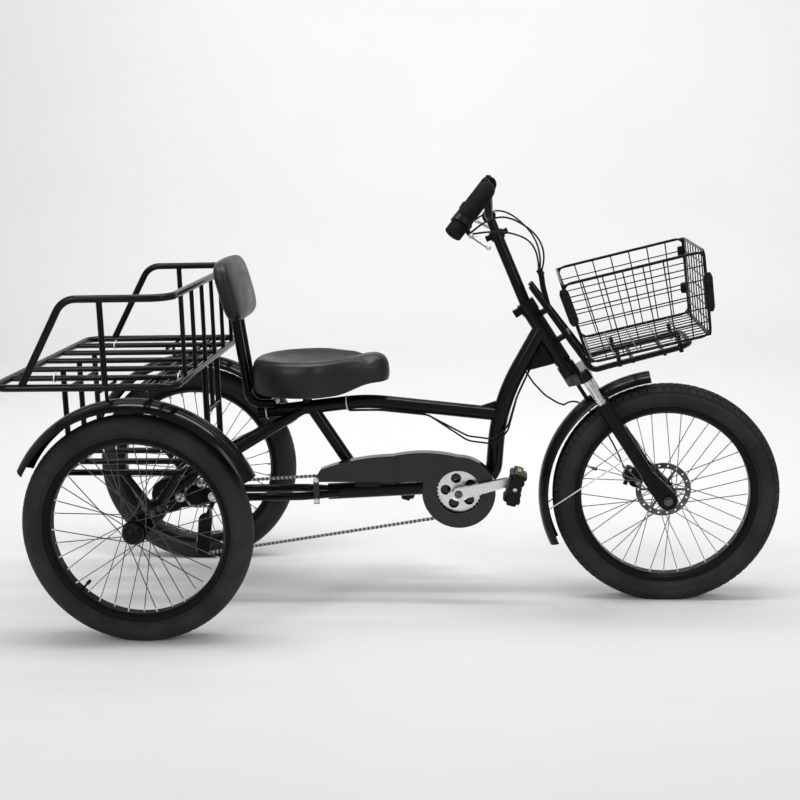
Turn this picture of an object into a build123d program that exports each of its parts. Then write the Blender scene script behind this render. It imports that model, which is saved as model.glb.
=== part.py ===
"""Cargo tricycle: a step-through frame with a front basket, a saddle with a backrest and a rear load rack.

Millimetres, X forward, Y to the rider's left, Z up, the floor at Z = 0.
"""
import math
import os

from build123d import *

# Wheels
WHEEL_R = 324.0
TYRE_W = 76.0
TYRE_H = 72.0
RIM_LIP = 7.0
RIM_DEPTH = 12.0
RIM_W = 50.0
RIM_WALL = 4.0
SPOKE_COUNT = 36
SPOKE_T = 2.2
HUB_FLANGE_Y = 31.5
HUB_FLANGE_T = 6.0
FRONT_HUB_R = 18.0
FRONT_HUB_HALF = 45.0
REAR_HUB_R = 22.0
REAR_HUB_HALF = 44.0
HUB_CAP_R = 30.0
FRONT_AXLE_X = 749.0
REAR_AXLE_X = -709.0
TRACK = 701.0
FRONT_AXLE_R = 5.0
SHAFT_R = 10.0
BEARING_Y = 190.0
BEARING_R = 34.0
ROTOR_R = 80.0
ROTOR_Y = 40.0
ROTOR_T = 2.0

# Steering, measured along and across the head axis
HEAD_TILT = 32.0
FORK_RAKE = 42.0
LEG_X = 32.0
LEG_Y = 66.0
LEG_R = 19.0
STANCHION_R = 13.5
CROWN_RISE = 91.0
CROWN_T = 32.0
CROWN_BOSS = 29.0
STEERER_R = 14.0
HEAD_R = 24.0
HEAD_GAP = 10.0
HEAD_LEN = 169.0
HEADSET_H = 35.0
STEM_TILT = 22.0
STEM_R = 16.0
STEM_INNER_R = 13.0
STEM_LOW_LEN = 205.0
STEM_LEN = 262.0
BAR_R = 11.1
BAR_RISE = 79.0
BAR_DROP = 100.0
BAR_SWEEP = 80.0
BAR_CORNER_Y = 225.0
BAR_HALF = 290.0
GRIP_R = 24.0
CABLE_R = 2.6

# Mudguards
FENDER_GAP = 38.0
FENDER_T = 2.0
FRONT_FENDER_W = 80.0
FRONT_FENDER_DROP = 26.0
REAR_FENDER_W = 92.0
REAR_FENDER_DROP = 26.0

# Main frame
MAIN_R = 24.0
UPPER_R = 20.0
BRACE_R = 15.0
SEAT_BRACE_R = 18.0
STAY_R = 12.0
STAY_Y = 46.0
STAY_X = -232.0
SEAT_X = -272.0
DOWN_X = 253.0
MAIN_BEND = 560.0
GUSSET_T = 8.0

# Drive
CRANK_X = 157.0
CRANK_RISE = 28.0
SHELL_R = 25.0
SHELL_HALF = 34.0
SPINDLE_R = 8.5
CRANK_LEN = 165.0
CRANK_ANGLE = 14.0
CRANK_T = 14.0
CRANK_Y = 99.0
PEDAL_PIN_R = 6.0
PEDAL_W = 92.0
PEDAL_LEN = 92.0
PEDAL_T = 28.0
CHAIN_Y = -75.0
CHAIN_W = 7.0
CHAIN_PITCH = 12.7
CHAIN_PIN_H = 4.3
CHAIN_WAIST_H = 2.9
CHAINRING_R = 70.0
CHAINRING_TEETH = 34
FREEWHEEL_X = -612.0
FREEWHEEL_RISE = 16.0
FREEWHEEL_R = 34.0
PULLEY_R = 18.0
COVER_R = 105.0
COVER_WINDOW_R = 64.0
COVER_TAIL_X = -250.0
COVER_DEPTH = 32.0
COVER_T = 3.0
COVER_BORE_R = 34.0
DRIVE_UNIT_R = 52.0

# Rider
SADDLE_LEN = 403.0
SADDLE_W = 300.0
SADDLE_H = 98.0
SADDLE_REAR_X = -432.0
BACKREST_H = 180.0
BACKREST_W = 290.0
BACKREST_T = 64.0
BACKREST_TILT = 14.0
POST_R = 13.0
POST_Y = 28.0

# Rear load rack
RACK_FRONT_X = -567.0
RACK_REAR_X = -1063.0
RACK_HALF_W = 410.0
RACK_CORNER = 45.0
RACK_R = 10.0
SLAT_R = 8.0
SLAT_COUNT = 5
FENCE_COUNT = 6
RAIL_H = 234.0
TRAY_RISE = 116.0
TRAY_REAR_X = -985.0
TRAY_FRONT_X = -620.0
TRAY_R = 9.0
LEG_FRONT_Y = 76.0
LEG_REAR_Y = 140.0

# Front load carrier and basket
CARRIER_Y = 115.0
CARRIER_TOP_Y = 40.0
CARRIER_R = 8.0
CARRIER_FRONT_X = 800.0
BASKET_X = 520.0
BASKET_TILT = 13.0
BASKET_LEN = 326.0
BASKET_H = 223.0
BASKET_W = 426.0
BASKET_FLARE = 27.0
BASKET_WIRE = 3.0
BASKET_FRAME = 5.0
BASKET_LIFT = 32.0
TIE_SHARE = 0.3

# Clearances
BEARING_GAP = 0.3
SEAT_GAP = 0.3
PAD_GAP = 1.5
CHAIN_ROOM = 10.0
DECK_GAP = 41.0

# Sizes that follow
RIM_SEAT_R = WHEEL_R - TYRE_H
RIM_FLANGE_R = RIM_SEAT_R + RIM_LIP
RIM_INNER_R = RIM_SEAT_R - RIM_DEPTH
FENDER_R = WHEEL_R + FENDER_GAP + FENDER_T
CROWN_LOW = WHEEL_R + CROWN_RISE
CROWN_ARM = CROWN_LOW + CROWN_T
CROWN_HIGH = CROWN_ARM + CROWN_BOSS
HEAD_LOW = CROWN_HIGH + HEAD_GAP
HEAD_HIGH = HEAD_LOW + HEAD_LEN
HEADSET_TOP = HEAD_HIGH + HEADSET_H
CARRIER_TOP = HEADSET_TOP + 32
CARRIER_LOW = CROWN_HIGH - 36
CRANK_Z = WHEEL_R + CRANK_RISE
STAY_Z = WHEEL_R + 6
UPPER_Z = CRANK_Z + 252
SADDLE_Z = UPPER_Z + UPPER_R + 15
RACK_Z = WHEEL_R + FENDER_R + DECK_GAP
RAIL_Z = RACK_Z + RAIL_H
TRAY_Z = WHEEL_R + TRAY_RISE
FREEWHEEL_Z = WHEEL_R + FREEWHEEL_RISE

# Head frame: its origin beside the front axle on the steering axis, Z up along the axis, X forward.
TILT = math.radians(HEAD_TILT)
HEAD = Location(
    (FRONT_AXLE_X - FORK_RAKE * math.cos(TILT), 0, WHEEL_R - FORK_RAKE * math.sin(TILT)),
    (0, -HEAD_TILT, 0),
)
FRONT_WHEEL_PLACE = Pos(FRONT_AXLE_X, 0, WHEEL_R)
RIGHT_WHEEL_PLACE = Pos(REAR_AXLE_X, -TRACK / 2, WHEEL_R)


def head_point(x, y, z):
    """A point of the head frame in the part's own frame."""
    return (HEAD * Location((x, y, z))).position


BASKET_BACK = head_point(72, 0, CROWN_HIGH + 3)
BASKET = Location((BASKET_X, 0, BASKET_BACK.Z), (0, -BASKET_TILT, 0))


def basket_point(x, y, z):
    """A point of the basket's tilted frame in the part's own frame."""
    return (BASKET * Location((x, y, z))).position


def rod(start, end, radius):
    """A straight round bar between two points."""
    start, end = Vector(*start), Vector(*end)
    return extrude(Plane(origin=start, z_dir=end - start) * Circle(radius), amount=(end - start).length)


def tube(points, radius, bends):
    """A round tube along straight runs whose corners have the given bend radii."""
    path = FilletPolyline(*points, radius=bends)
    return sweep(Plane(origin=path @ 0, z_dir=path % 0) * Circle(radius), path=path)


def disc(radius, y_low, y_high, x=0.0, z=0.0):
    """A round disc about an axis along Y."""
    return Pos(x, (y_low + y_high) / 2, z) * Rot(90, 0, 0) * Cylinder(radius, y_high - y_low)


def plate(sketch, y_low, y_high):
    """A sketch drawn in X and Z, made a plate between two Y values."""
    return Pos(0, y_high, 0) * Rot(90, 0, 0) * extrude(sketch, amount=y_high - y_low)


def upright(radius, low, high, x=0.0, y=0.0):
    """A round bar along Z."""
    return Pos(x, y, (low + high) / 2) * Cylinder(radius, high - low)


def mirrored(shape):
    """The same piece on the other side of the middle plane."""
    return mirror(shape, about=Plane.XZ)


def both_sides(right):
    """A right-hand piece with its left-hand twin."""
    return Compound([*right.solids(), *mirrored(right).solids()])


def biggest(shape):
    """The largest solid of a cut bar, without the bit left on its far side."""
    return max(shape.solids(), key=lambda solid: solid.volume)


def joined(pieces):
    """One solid from bars that meet."""
    first, *others = pieces
    return first.fuse(*others)


def hull(*circles):
    """The flat outline around circles given as (x, y, radius)."""
    return make_hull([edge for x, y, r in circles for edge in (Pos(x, y) * Circle(r)).edges()])


def toothed(radius, depth, teeth):
    """A toothed wheel's flat outline, tips at the given radius."""
    corners = []
    for i in range(2 * teeth):
        turn = math.pi * i / teeth
        reach = radius - depth * (i % 2)
        corners.append((reach * math.cos(turn), reach * math.sin(turn)))
    return make_face(Polyline(*corners, close=True))


# Wheels


def tyre():
    bead_y = RIM_W / 2 - RIM_WALL - SEAT_GAP
    seat = RIM_SEAT_R + SEAT_GAP
    foot = RIM_FLANGE_R + SEAT_GAP
    shoulder_r, shoulder_y = WHEEL_R - 14, TYRE_W / 2 - 8
    bulge_r, bulge_y = (foot + shoulder_r) / 2 - 2, TYRE_W / 2
    section = make_face([
        Line((seat, -bead_y), (seat, bead_y)),
        Line((seat, bead_y), (foot, bead_y)),
        ThreePointArc((foot, bead_y), (bulge_r, bulge_y), (shoulder_r, shoulder_y)),
        ThreePointArc((shoulder_r, shoulder_y), (WHEEL_R, 0), (shoulder_r, -shoulder_y)),
        ThreePointArc((shoulder_r, -shoulder_y), (bulge_r, -bulge_y), (foot, -bead_y)),
        Line((foot, -bead_y), (seat, -bead_y)),
    ])
    return revolve(section, axis=Axis.Y)


def rim():
    half, inner = RIM_W / 2, RIM_W / 2 - RIM_WALL
    corners = [(RIM_INNER_R, half - 10), (RIM_SEAT_R - 4, half), (RIM_FLANGE_R, half), (RIM_FLANGE_R, inner)]
    corners.append((RIM_SEAT_R, inner))
    section = Polyline(*corners, *((r, -y) for r, y in reversed(corners)), close=True)
    return revolve(make_face(section), axis=Axis.Y)


def spokes(flange_r):
    """Crossed spokes from two hub flanges to the rim, in two layers on each flange."""
    bars = []
    for i in range(SPOKE_COUNT):
        side = 1 if i % 2 else -1
        lean = 1 if i // 2 % 2 else -1
        rim_turn = 2 * math.pi * i / SPOKE_COUNT
        hub_turn = rim_turn + lean * math.radians(62)
        hub_y = side * (HUB_FLANGE_Y + lean * (SPOKE_T + 0.3))
        start = Vector(flange_r * math.cos(hub_turn), hub_y, flange_r * math.sin(hub_turn))
        reach = RIM_INNER_R + RIM_DEPTH / 2
        end = Vector(reach * math.cos(rim_turn), side * 5, reach * math.sin(rim_turn))
        section = Plane(origin=start, z_dir=end - start) * Rectangle(SPOKE_T, SPOKE_T)
        bars.append(extrude(section, amount=(end - start).length))
    return bars


def hub(radius, half, flange_r):
    shell = disc(radius, -half, half)
    for side in (-1, 1):
        middle = side * HUB_FLANGE_Y
        shell += disc(flange_r, middle - HUB_FLANGE_T / 2 - 1, middle + HUB_FLANGE_T / 2 + 1)
    return shell


def front_wheel():
    flange_r = FRONT_HUB_R + 12
    core = rim() + hub(FRONT_HUB_R, FRONT_HUB_HALF, flange_r) + spokes(flange_r - 2)
    return core - disc(FRONT_AXLE_R + BEARING_GAP, -FRONT_HUB_HALF - 1, FRONT_HUB_HALF + 1)


def rear_wheel():
    """The right rear wheel with its hub and domed cap, about its own centre."""
    flange_r = REAR_HUB_R + 12
    dome = Pos(0, -REAR_HUB_HALF, 0) * Sphere(HUB_CAP_R)
    cap = dome & Pos(0, -REAR_HUB_HALF - HUB_CAP_R / 2, 0) * Box(3 * HUB_CAP_R, HUB_CAP_R, 3 * HUB_CAP_R)
    return rim() + hub(REAR_HUB_R, REAR_HUB_HALF, flange_r) + cap + spokes(flange_r - 2)


def rear_shaft():
    return disc(SHAFT_R, REAR_HUB_HALF + SEAT_GAP, TRACK / 2 - BEARING_Y + 50)


def brake_rotor():
    """The drilled brake disc on the front hub's left side."""
    low, high = ROTOR_Y - ROTOR_T / 2, ROTOR_Y + ROTOR_T / 2
    bore = FRONT_HUB_R + SEAT_GAP
    band = Circle(ROTOR_R) - Circle(ROTOR_R - 17)
    band -= PolarLocations(ROTOR_R - 8.5, 18) * Circle(3)
    arms = PolarLocations((bore + ROTOR_R - 10) / 2, 6) * Rectangle(ROTOR_R - 10 - bore, 7)
    carrier = band + arms + Circle(bore + 9) - Circle(bore)
    return plate(carrier, low, high)


# Steering


def fork_crown():
    outline = hull((0, 0, 26), (LEG_X, LEG_Y, 19.5), (LEG_X, -LEG_Y, 19.5))
    arms = extrude(Pos(0, 0, CROWN_LOW) * outline, amount=CROWN_T)
    arms = chamfer(arms.edges().group_by(Axis.Z)[-1], 6)
    boss = upright(26, CROWN_LOW, CROWN_HIGH)
    race = upright(22, CROWN_HIGH, HEAD_LOW - BEARING_GAP)
    steerer = upright(STEERER_R, CROWN_HIGH, HEADSET_TOP)
    cap = upright(HEAD_R + 2, HEAD_HIGH + BEARING_GAP, HEADSET_TOP)
    lip = Pos(-32, 0, HEADSET_TOP - 15) * Box(24, 22, 22)
    hanger = upright(6, FENDER_R - 6, CROWN_LOW)
    return biggest(HEAD * joined([arms, boss, race, steerer, cap, lip, hanger]) - GUARD)


def fork_legs():
    """The right leg: a bright stanchion, the lower leg with its dust boot and the flat shoe for the axle."""
    boot_z = WHEEL_R + 11
    stanchion = upright(STANCHION_R, boot_z - 15, CROWN_LOW, LEG_X, -LEG_Y)
    lower = upright(LEG_R, 70, boot_z, LEG_X, -LEG_Y)
    boot = upright(LEG_R + 2, boot_z - 14, boot_z - 2, LEG_X, -LEG_Y)
    shoe = plate(hull((LEG_X, 82, LEG_R + 1), (FORK_RAKE, 0, 28)), -LEG_Y - 14, -LEG_Y + 14)
    hole = disc(FRONT_AXLE_R + SEAT_GAP, -LEG_Y - 30, -LEG_Y + 30, FORK_RAKE, 0)
    return both_sides(HEAD * (joined([stanchion, lower, boot, shoe]) - hole))


def front_axle():
    reach = LEG_Y + 14
    axle = disc(FRONT_AXLE_R, -reach - 10, reach + 10)
    for side in (-1, 1):
        axle += disc(10, *sorted((side * (reach + SEAT_GAP), side * (reach + 8))))
    return FRONT_WHEEL_PLACE * axle


def guard_strip(radius, width, drop, start, end):
    """A mudguard: a crowned strip bent about the Y axis between two angles from +X."""
    half, low = width / 2, radius - FENDER_T
    section = make_face([
        ThreePointArc((radius - drop, -half), (radius, 0), (radius - drop, half)),
        Line((radius - drop, half), (low - drop, half)),
        ThreePointArc((low - drop, half), (low, 0), (low - drop, -half)),
        Line((low - drop, -half), (radius - drop, -half)),
    ])
    return revolve(Rot(0, -start, 0) * section, axis=-Axis.Y, revolution_arc=end - start)


GUARD = FRONT_WHEEL_PLACE * guard_strip(FENDER_R, FRONT_FENDER_W, FRONT_FENDER_DROP, 98, 205)


def front_fender():
    """The front mudguard with the two thin stays that hold its tail to the fork legs."""
    turn = math.radians(187)
    tail_r = FENDER_R - FRONT_FENDER_DROP + 3
    tail_x, tail_z = FRONT_AXLE_X + tail_r * math.cos(turn), WHEEL_R + tail_r * math.sin(turn)
    tail = (tail_x, -FRONT_FENDER_W / 2 + 2, tail_z)
    foot = head_point(LEG_X - LEG_R + 3, -LEG_Y, WHEEL_R / 2)
    stay = rod(tail, foot, 2) - LEGS
    return joined([GUARD, biggest(stay), biggest(mirrored(stay))])


def brake_caliper():
    """The left disc brake's body behind the leg, open over the disc, with its arm and mounting lug."""
    turn = math.radians(154)
    middle = ROTOR_R + 16
    place = FRONT_WHEEL_PLACE * Pos(middle * math.cos(turn), ROTOR_Y, middle * math.sin(turn))
    place *= Rot(0, -154, 0)
    body = Pos(0, 5, 0) * fillet(Box(58, 24, 40).edges().filter_by(Axis.Y), 8)
    slot = Pos(-22, 0, 0) * Box(60, ROTOR_T + 2 * PAD_GAP, 60)
    piston = Pos(0, 19, 0) * Rot(90, 0, 0) * Cylinder(12, 10)
    arm = Pos(6, 25, 16) * Box(12, 5, 50)
    lug = HEAD * rod((LEG_X - 6, LEG_Y, 96), (LEG_X - 44, LEG_Y - 18, 78), 8)
    return biggest(joined([place * (body - slot + piston + arm), lug]) - LEGS - ROTOR_SWEEP)


ROTOR_SWEEP = FRONT_WHEEL_PLACE * disc(
    ROTOR_R + PAD_GAP, ROTOR_Y - ROTOR_T / 2 - PAD_GAP, ROTOR_Y + ROTOR_T / 2 + PAD_GAP
)
LEGS = fork_legs()


def stem_point(along):
    """A point on the stem's centre line above the headset."""
    lean = math.radians(STEM_TILT)
    return head_point(0, 0, HEADSET_TOP) + Vector(-math.sin(lean), 0, math.cos(lean)) * along


BAR_X, BAR_Z = stem_point(STEM_LEN).X, stem_point(STEM_LEN).Z


def stem():
    """The telescopic stem: outer tube, clamp collar with two ears, inner tube and bar clamp."""
    collar = stem_point(STEM_LOW_LEN)
    ears = Pos(*collar) * Rot(0, -STEM_TILT, 0) * Box(2 * STEM_R + 34, 14, 16)
    clamp = disc(BAR_R + 8, -22, 22, BAR_X, BAR_Z)
    body = joined([
        rod(stem_point(-20), collar, STEM_R),
        rod(stem_point(STEM_LOW_LEN - 14), stem_point(STEM_LOW_LEN + 12), STEM_R + 4),
        rod(collar, stem_point(STEM_LEN), STEM_INNER_R),
        ears,
        clamp,
    ])
    body -= disc(BAR_R + SEAT_GAP, -23, 23, BAR_X, BAR_Z)
    return biggest(body - HEAD * upright(4 * HEAD_R, HEAD_LOW, HEADSET_TOP))


def bar_points(side):
    """The handlebar's corners on one side: up from the clamp, out, then back and down to the grip's end."""
    return [
        (BAR_X, side * 48, BAR_Z),
        (BAR_X - 4, side * 105, BAR_Z + BAR_RISE),
        (BAR_X - 4, side * BAR_CORNER_Y, BAR_Z + BAR_RISE),
        (BAR_X - 4 - BAR_SWEEP, side * BAR_HALF, BAR_Z + BAR_RISE - BAR_DROP),
    ]


def handlebar():
    return tube(bar_points(-1)[::-1] + bar_points(1), BAR_R, [45, 36, 30, 30, 36, 45])


def grips():
    """A thick foam sleeve over the right arm of the bar, from near its top to past its end."""
    top, corner, end = (Vector(*point) for point in bar_points(-1)[1:])
    start = top + (corner - top).normalized() * 62
    past = end + (end - corner).normalized() * 8
    return both_sides(tube([start, corner, past], GRIP_R, [45]) - handlebar())


def lever_frame():
    """The right lever's place on the grip: the middle of its band, the bar's direction and the hinge."""
    corner, end = (Vector(*point) for point in bar_points(-1)[2:])
    run = (end - corner).normalized()
    middle = corner + run * 112
    return middle, run, middle + Vector(24, 0, -34)


def brake_levers():
    """The right lever: a band round the grip's inner end, the bracket and the blade with its ball end."""
    middle, run, hinge = lever_frame()
    out = (hinge - middle).normalized()
    tip = hinge + Vector(46, -36, -28)
    band = rod(middle - run * 8, middle + run * 8, GRIP_R + 4)
    band -= rod(middle - run * 9, middle + run * 9, GRIP_R + SEAT_GAP)
    bracket = rod(middle + out * (GRIP_R + 2), hinge + out * 4, 7)
    blade = rod(hinge, tip, 5)
    return both_sides(joined([band, bracket, blade, Pos(*tip) * Sphere(7)]))


LEVERS = brake_levers()


def bar_cables():
    """Three cables from the levers and grip round in front of the stem, and the brake cable on the fork."""
    middle, _, hinge = lever_frame()
    start = hinge + Vector(-6, 3, 3)
    band = middle + Vector(17, 6, -20)
    x, y, z = start
    meet = head_point(82, 0, HEADSET_TOP + 48)
    routes = [
        [(x, y, z), (x + 62, y + 56, z + 30), (x + 124, y + 124, z + 22), (meet.X + 6, -12, meet.Z + 62)],
        [(x, -y, z), (x + 62, -y - 56, z + 26), (x + 120, -y - 130, z + 6), (meet.X - 8, 10, meet.Z + 60)],
        [tuple(band), (x + 52, y + 70, z - 2), (x + 110, y + 140, z - 18), (meet.X - 16, 0, meet.Z + 52)],
    ]
    ends = [(meet.X + 1, -6, meet.Z), (meet.X - 1, 6, meet.Z), (meet.X - 6, 0, meet.Z)]
    cables = [tube([*route, end], CABLE_R, [60, 60, 40]) for route, end in zip(routes, ends)]
    fork_route = [
        (-22, LEG_Y - 6, 108), (-8, LEG_Y + 10, 175), (-6, LEG_Y + 8, 290), (-38, 40, 362), (-52, 8, 372),
    ]
    cables.append(tube([tuple(head_point(*point)) for point in fork_route], CABLE_R, [150, 60, 30]))
    return Compound(biggest(cable - CALIPER - LEVERS) for cable in cables)


CALIPER = brake_caliper()

# Main frame

HEAD_SOLID = HEAD * upright(HEAD_R, HEAD_LOW, HEAD_HIGH)


def head_tube():
    return HEAD_SOLID - HEAD * upright(STEERER_R + BEARING_GAP, HEAD_LOW - 1, HEAD_HIGH + 1)


MAIN_TOP = head_point(0, 0, HEAD_LOW + 114)
MAIN_KNEE = (DOWN_X + 20, 0, CRANK_Z + 241)
SHELL_BORE = disc(SPINDLE_R + BEARING_GAP, -SHELL_HALF - 1, SHELL_HALF + 1, CRANK_X, CRANK_Z)


def main_tube():
    """The curved tube from the head down to the crank shell and on to the stays, with its head gusset."""
    route = [tuple(MAIN_TOP), MAIN_KNEE, (DOWN_X, 0, CRANK_Z + 4), (STAY_X, 0, STAY_Z)]
    body = tube(route, MAIN_R, [MAIN_BEND, 70])
    low = head_point(-HEAD_R + 6, 0, HEAD_LOW + 6)
    knee = Vector(*MAIN_KNEE)
    run = (MAIN_TOP - knee).normalized()
    corners = [low, MAIN_TOP, MAIN_TOP - run * 150]
    outline = make_face(Polyline(*((p.X, p.Z) for p in corners), close=True))
    gusset = plate(outline, -GUSSET_T / 2, GUSSET_T / 2)
    shell = disc(SHELL_R, -SHELL_HALF, SHELL_HALF, CRANK_X, CRANK_Z)
    return biggest(joined([body, gusset, shell]) - HEAD_SOLID) - SHELL_BORE


MAIN = main_tube()


def upper_tube():
    """The arched tube from under the saddle to the main tube, with the web plate on top of that joint."""
    front = (DOWN_X + 19, 0, UPPER_Z - 43)
    body = tube([(SEAT_X - 158, 0, UPPER_Z - 35), (SEAT_X + 162, 0, UPPER_Z), front], UPPER_R, [500])
    corners = [(front[0] - 80, front[2] + 16), (front[0] + 10, front[2] + 14), (front[0] + 12, front[2] + 46)]
    web = plate(make_face(Polyline(*corners, close=True)), -GUSSET_T / 2, GUSSET_T / 2)
    return biggest(joined([body, web]) - MAIN)


UPPER = upper_tube()
AXLE_BEAM = disc(22, -BEARING_Y + 25, BEARING_Y - 25, REAR_AXLE_X, WHEEL_R)


def seat_brace():
    """The strut from the seat junction down to the main tube, with the plate at its foot."""
    foot = (SEAT_X + 156, 0, STAY_Z + 8)
    strut = rod((SEAT_X, 0, UPPER_Z - 20), foot, SEAT_BRACE_R)
    shoe = Pos(foot[0] + 4, 0, foot[2] + 20) * Box(74, 2 * MAIN_R + 6, 16)
    return biggest(joined([strut, shoe]) - MAIN - UPPER)


SEAT_BRACE = seat_brace()


def rear_braces():
    arms = [
        rod((SEAT_X - 28, side * 6, UPPER_Z - 25), (REAR_AXLE_X + 12, side * 132, WHEEL_R + 30), BRACE_R)
        for side in (-1, 1)
    ]
    return biggest(joined(arms) - UPPER - SEAT_BRACE - AXLE_BEAM)


REAR_BRACES = rear_braces()


def lower_stays():
    bend = (STAY_X - 70, -STAY_Y, STAY_Z - 2)
    route = [(STAY_X + 30, -18, STAY_Z), bend, (REAR_AXLE_X, -STAY_Y - 2, WHEEL_R)]
    stay = tube(route, STAY_R, [140]) - MAIN - AXLE_BEAM
    return both_sides(biggest(stay))


STAYS = lower_stays()


def axle_carrier():
    """The beam across the rear with a bearing block at each end for the wheel shafts."""
    body = AXLE_BEAM
    for side in (-1, 1):
        y = side * BEARING_Y
        body += disc(BEARING_R, y - 16, y + 16, REAR_AXLE_X, WHEEL_R)
        body += disc(BEARING_R - 10, *sorted((y, y - side * 30)), REAR_AXLE_X, WHEEL_R)
        body -= disc(SHAFT_R + BEARING_GAP, *sorted((y - side * 52, y + side * 20)), REAR_AXLE_X, WHEEL_R)
    return body


AXLE_CARRIER = axle_carrier()

# Rear load rack


def rack_deck():
    """The deck: a bent tube all round, long slats, and two cross bars under their front ends."""
    x0, x1, w = RACK_REAR_X, RACK_FRONT_X, RACK_HALF_W
    corners = [(x0, -w, RACK_Z), (x1, -w, RACK_Z), (x1, w, RACK_Z), (x0, w, RACK_Z)]
    loop = FilletPolyline(*corners, radius=RACK_CORNER, close=True)
    bars = [sweep(Plane(origin=loop @ 0, z_dir=loop % 0) * Circle(RACK_R), path=loop)]
    for i in range(SLAT_COUNT):
        y = w * (2 * (i + 1) / (SLAT_COUNT + 1) - 1)
        bars.append(rod((x0, y, RACK_Z), (x1, y, RACK_Z), SLAT_R))
    for x in (x1 - 45, x1 - 95):
        bars.append(rod((x, -w, RACK_Z - 6), (x, w, RACK_Z - 6), SLAT_R - 2))
    return joined(bars)


DECK = rack_deck()


def side_rails():
    """The right rail, from the deck's rear up and along to the front corner, with its post."""
    y = -RACK_HALF_W
    rear = (RACK_REAR_X + 85, y, RACK_Z + 4)
    corner = (RACK_REAR_X + 213, y, RAIL_Z)
    rail = tube([rear, corner, (RACK_FRONT_X - 60, y, RAIL_Z)], RACK_R, [60])
    post_x = RACK_FRONT_X - 185
    post = rod((post_x, y, RACK_Z + 4), (post_x, y, RAIL_Z), SLAT_R)
    return both_sides(biggest(joined([rail, post]) - DECK))


def front_fence():
    """The front hoop between the side rails, with its row of upright bars."""
    y, x, z = RACK_HALF_W, RACK_FRONT_X, RAIL_Z
    bars = [tube([(x - 60, -y, z), (x, -y, z), (x, y, z), (x - 60, y, z)], RACK_R, [55, 55])]
    for i in range(FENCE_COUNT):
        bar_y = y * (2 * (i + 1) / (FENCE_COUNT + 1) - 1)
        bars.append(rod((x, bar_y, RACK_Z + 4), (x, bar_y, z), 6))
    return biggest(joined(bars) - DECK)


def under_tray():
    """The open shelf over the axle: long bars on two cross bars."""
    bars = []
    for y in (-BEARING_Y, -65, 65, BEARING_Y):
        bars.append(rod((TRAY_REAR_X, y, TRAY_Z), (TRAY_FRONT_X, y, TRAY_Z), TRAY_R))
    for x in (TRAY_REAR_X + 25, TRAY_FRONT_X - 20):
        bars.append(rod((x, -BEARING_Y, TRAY_Z - 2), (x, BEARING_Y, TRAY_Z - 2), TRAY_R - 2))
    return joined(bars)


TRAY = under_tray()


def rack_legs():
    """Upright legs from the tray to the deck's rear, and the front frame that stands on the rear braces."""
    rear_x, tie_z = TRAY_REAR_X + 25, TRAY_Z + 150
    cross = [rod((rear_x, y, TRAY_Z), (rear_x, y, RACK_Z), 8) for y in (-LEG_REAR_Y, 0, LEG_REAR_Y)]
    cross.append(rod((rear_x, -LEG_REAR_Y, RACK_Z - 60), (rear_x, LEG_REAR_Y, RACK_Z - 60), 6))
    front = [rod((RACK_FRONT_X, -LEG_FRONT_Y, tie_z), (RACK_FRONT_X, LEG_FRONT_Y, tie_z), 8)]
    front.append(rod((RACK_FRONT_X, 0, tie_z), (RACK_FRONT_X, 0, RACK_Z), 7))
    for side in (-1, 1):
        y = side * LEG_FRONT_Y
        front.append(rod((RACK_FRONT_X, y, TRAY_Z - 20), (RACK_FRONT_X, y, RACK_Z), 9))
    return Compound([biggest(joined(cross) - DECK - TRAY), biggest(joined(front) - DECK - REAR_BRACES)])


def axle_struts():
    """Two bars from each bearing block up to the tray."""
    bars = []
    for side in (-1, 1):
        for lean in (-1, 1):
            foot = (REAR_AXLE_X + lean * 12, side * BEARING_Y, WHEEL_R + 20)
            head = (REAR_AXLE_X + lean * 80, side * BEARING_Y, TRAY_Z)
            bars.append(biggest(rod(foot, head, 10) - AXLE_CARRIER - TRAY))
    return Compound(bars)


def rear_fenders():
    """The right rear mudguard with two hangers from the deck."""
    guard = [RIGHT_WHEEL_PLACE * guard_strip(FENDER_R, REAR_FENDER_W, REAR_FENDER_DROP, 24, 152)]
    tie_z = RACK_Z - SLAT_R - 4
    slat_y = RACK_HALF_W * (SLAT_COUNT - 1) / (SLAT_COUNT + 1)
    for x in (REAR_AXLE_X - 60, REAR_AXLE_X + 60):
        guard.append(rod((x, -TRACK / 2, WHEEL_R + FENDER_R - 12), (x, -TRACK / 2, tie_z), 5))
        guard.append(rod((x, -RACK_HALF_W, tie_z), (x, -slat_y + 4, tie_z), 5))
    return both_sides(biggest(joined(guard) - DECK))


# Rider


def saddle():
    nose_r, half_w = 70, SADDLE_W / 2
    rear = Pos(SADDLE_REAR_X + 142, 0) * Ellipse(142, half_w)
    nose = Pos(SADDLE_REAR_X + SADDLE_LEN - nose_r, 0) * Circle(nose_r)
    outline = make_hull([*rear.edges(), *nose.edges()])
    pad = extrude(Pos(0, 0, SADDLE_Z) * outline, amount=SADDLE_H)
    return fillet(pad.edges().group_by(Axis.Z)[-1], SADDLE_H * 0.3)


SADDLE = saddle()


def backrest():
    pad = fillet(Box(BACKREST_T, BACKREST_W, BACKREST_H).edges(), 24)
    return Pos(SADDLE_REAR_X - 50, 0, SADDLE_Z + 300) * Rot(0, -BACKREST_TILT, 0) * pad


BACKREST = backrest()


def saddle_post():
    """The post on the seat junction with the rails under the pad."""
    post = rod((SEAT_X - 13, 0, UPPER_Z - 20), (SEAT_X - 13, 0, SADDLE_Z - SEAT_GAP), 14)
    return biggest(post - UPPER - SEAT_BRACE - REAR_BRACES)


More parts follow.
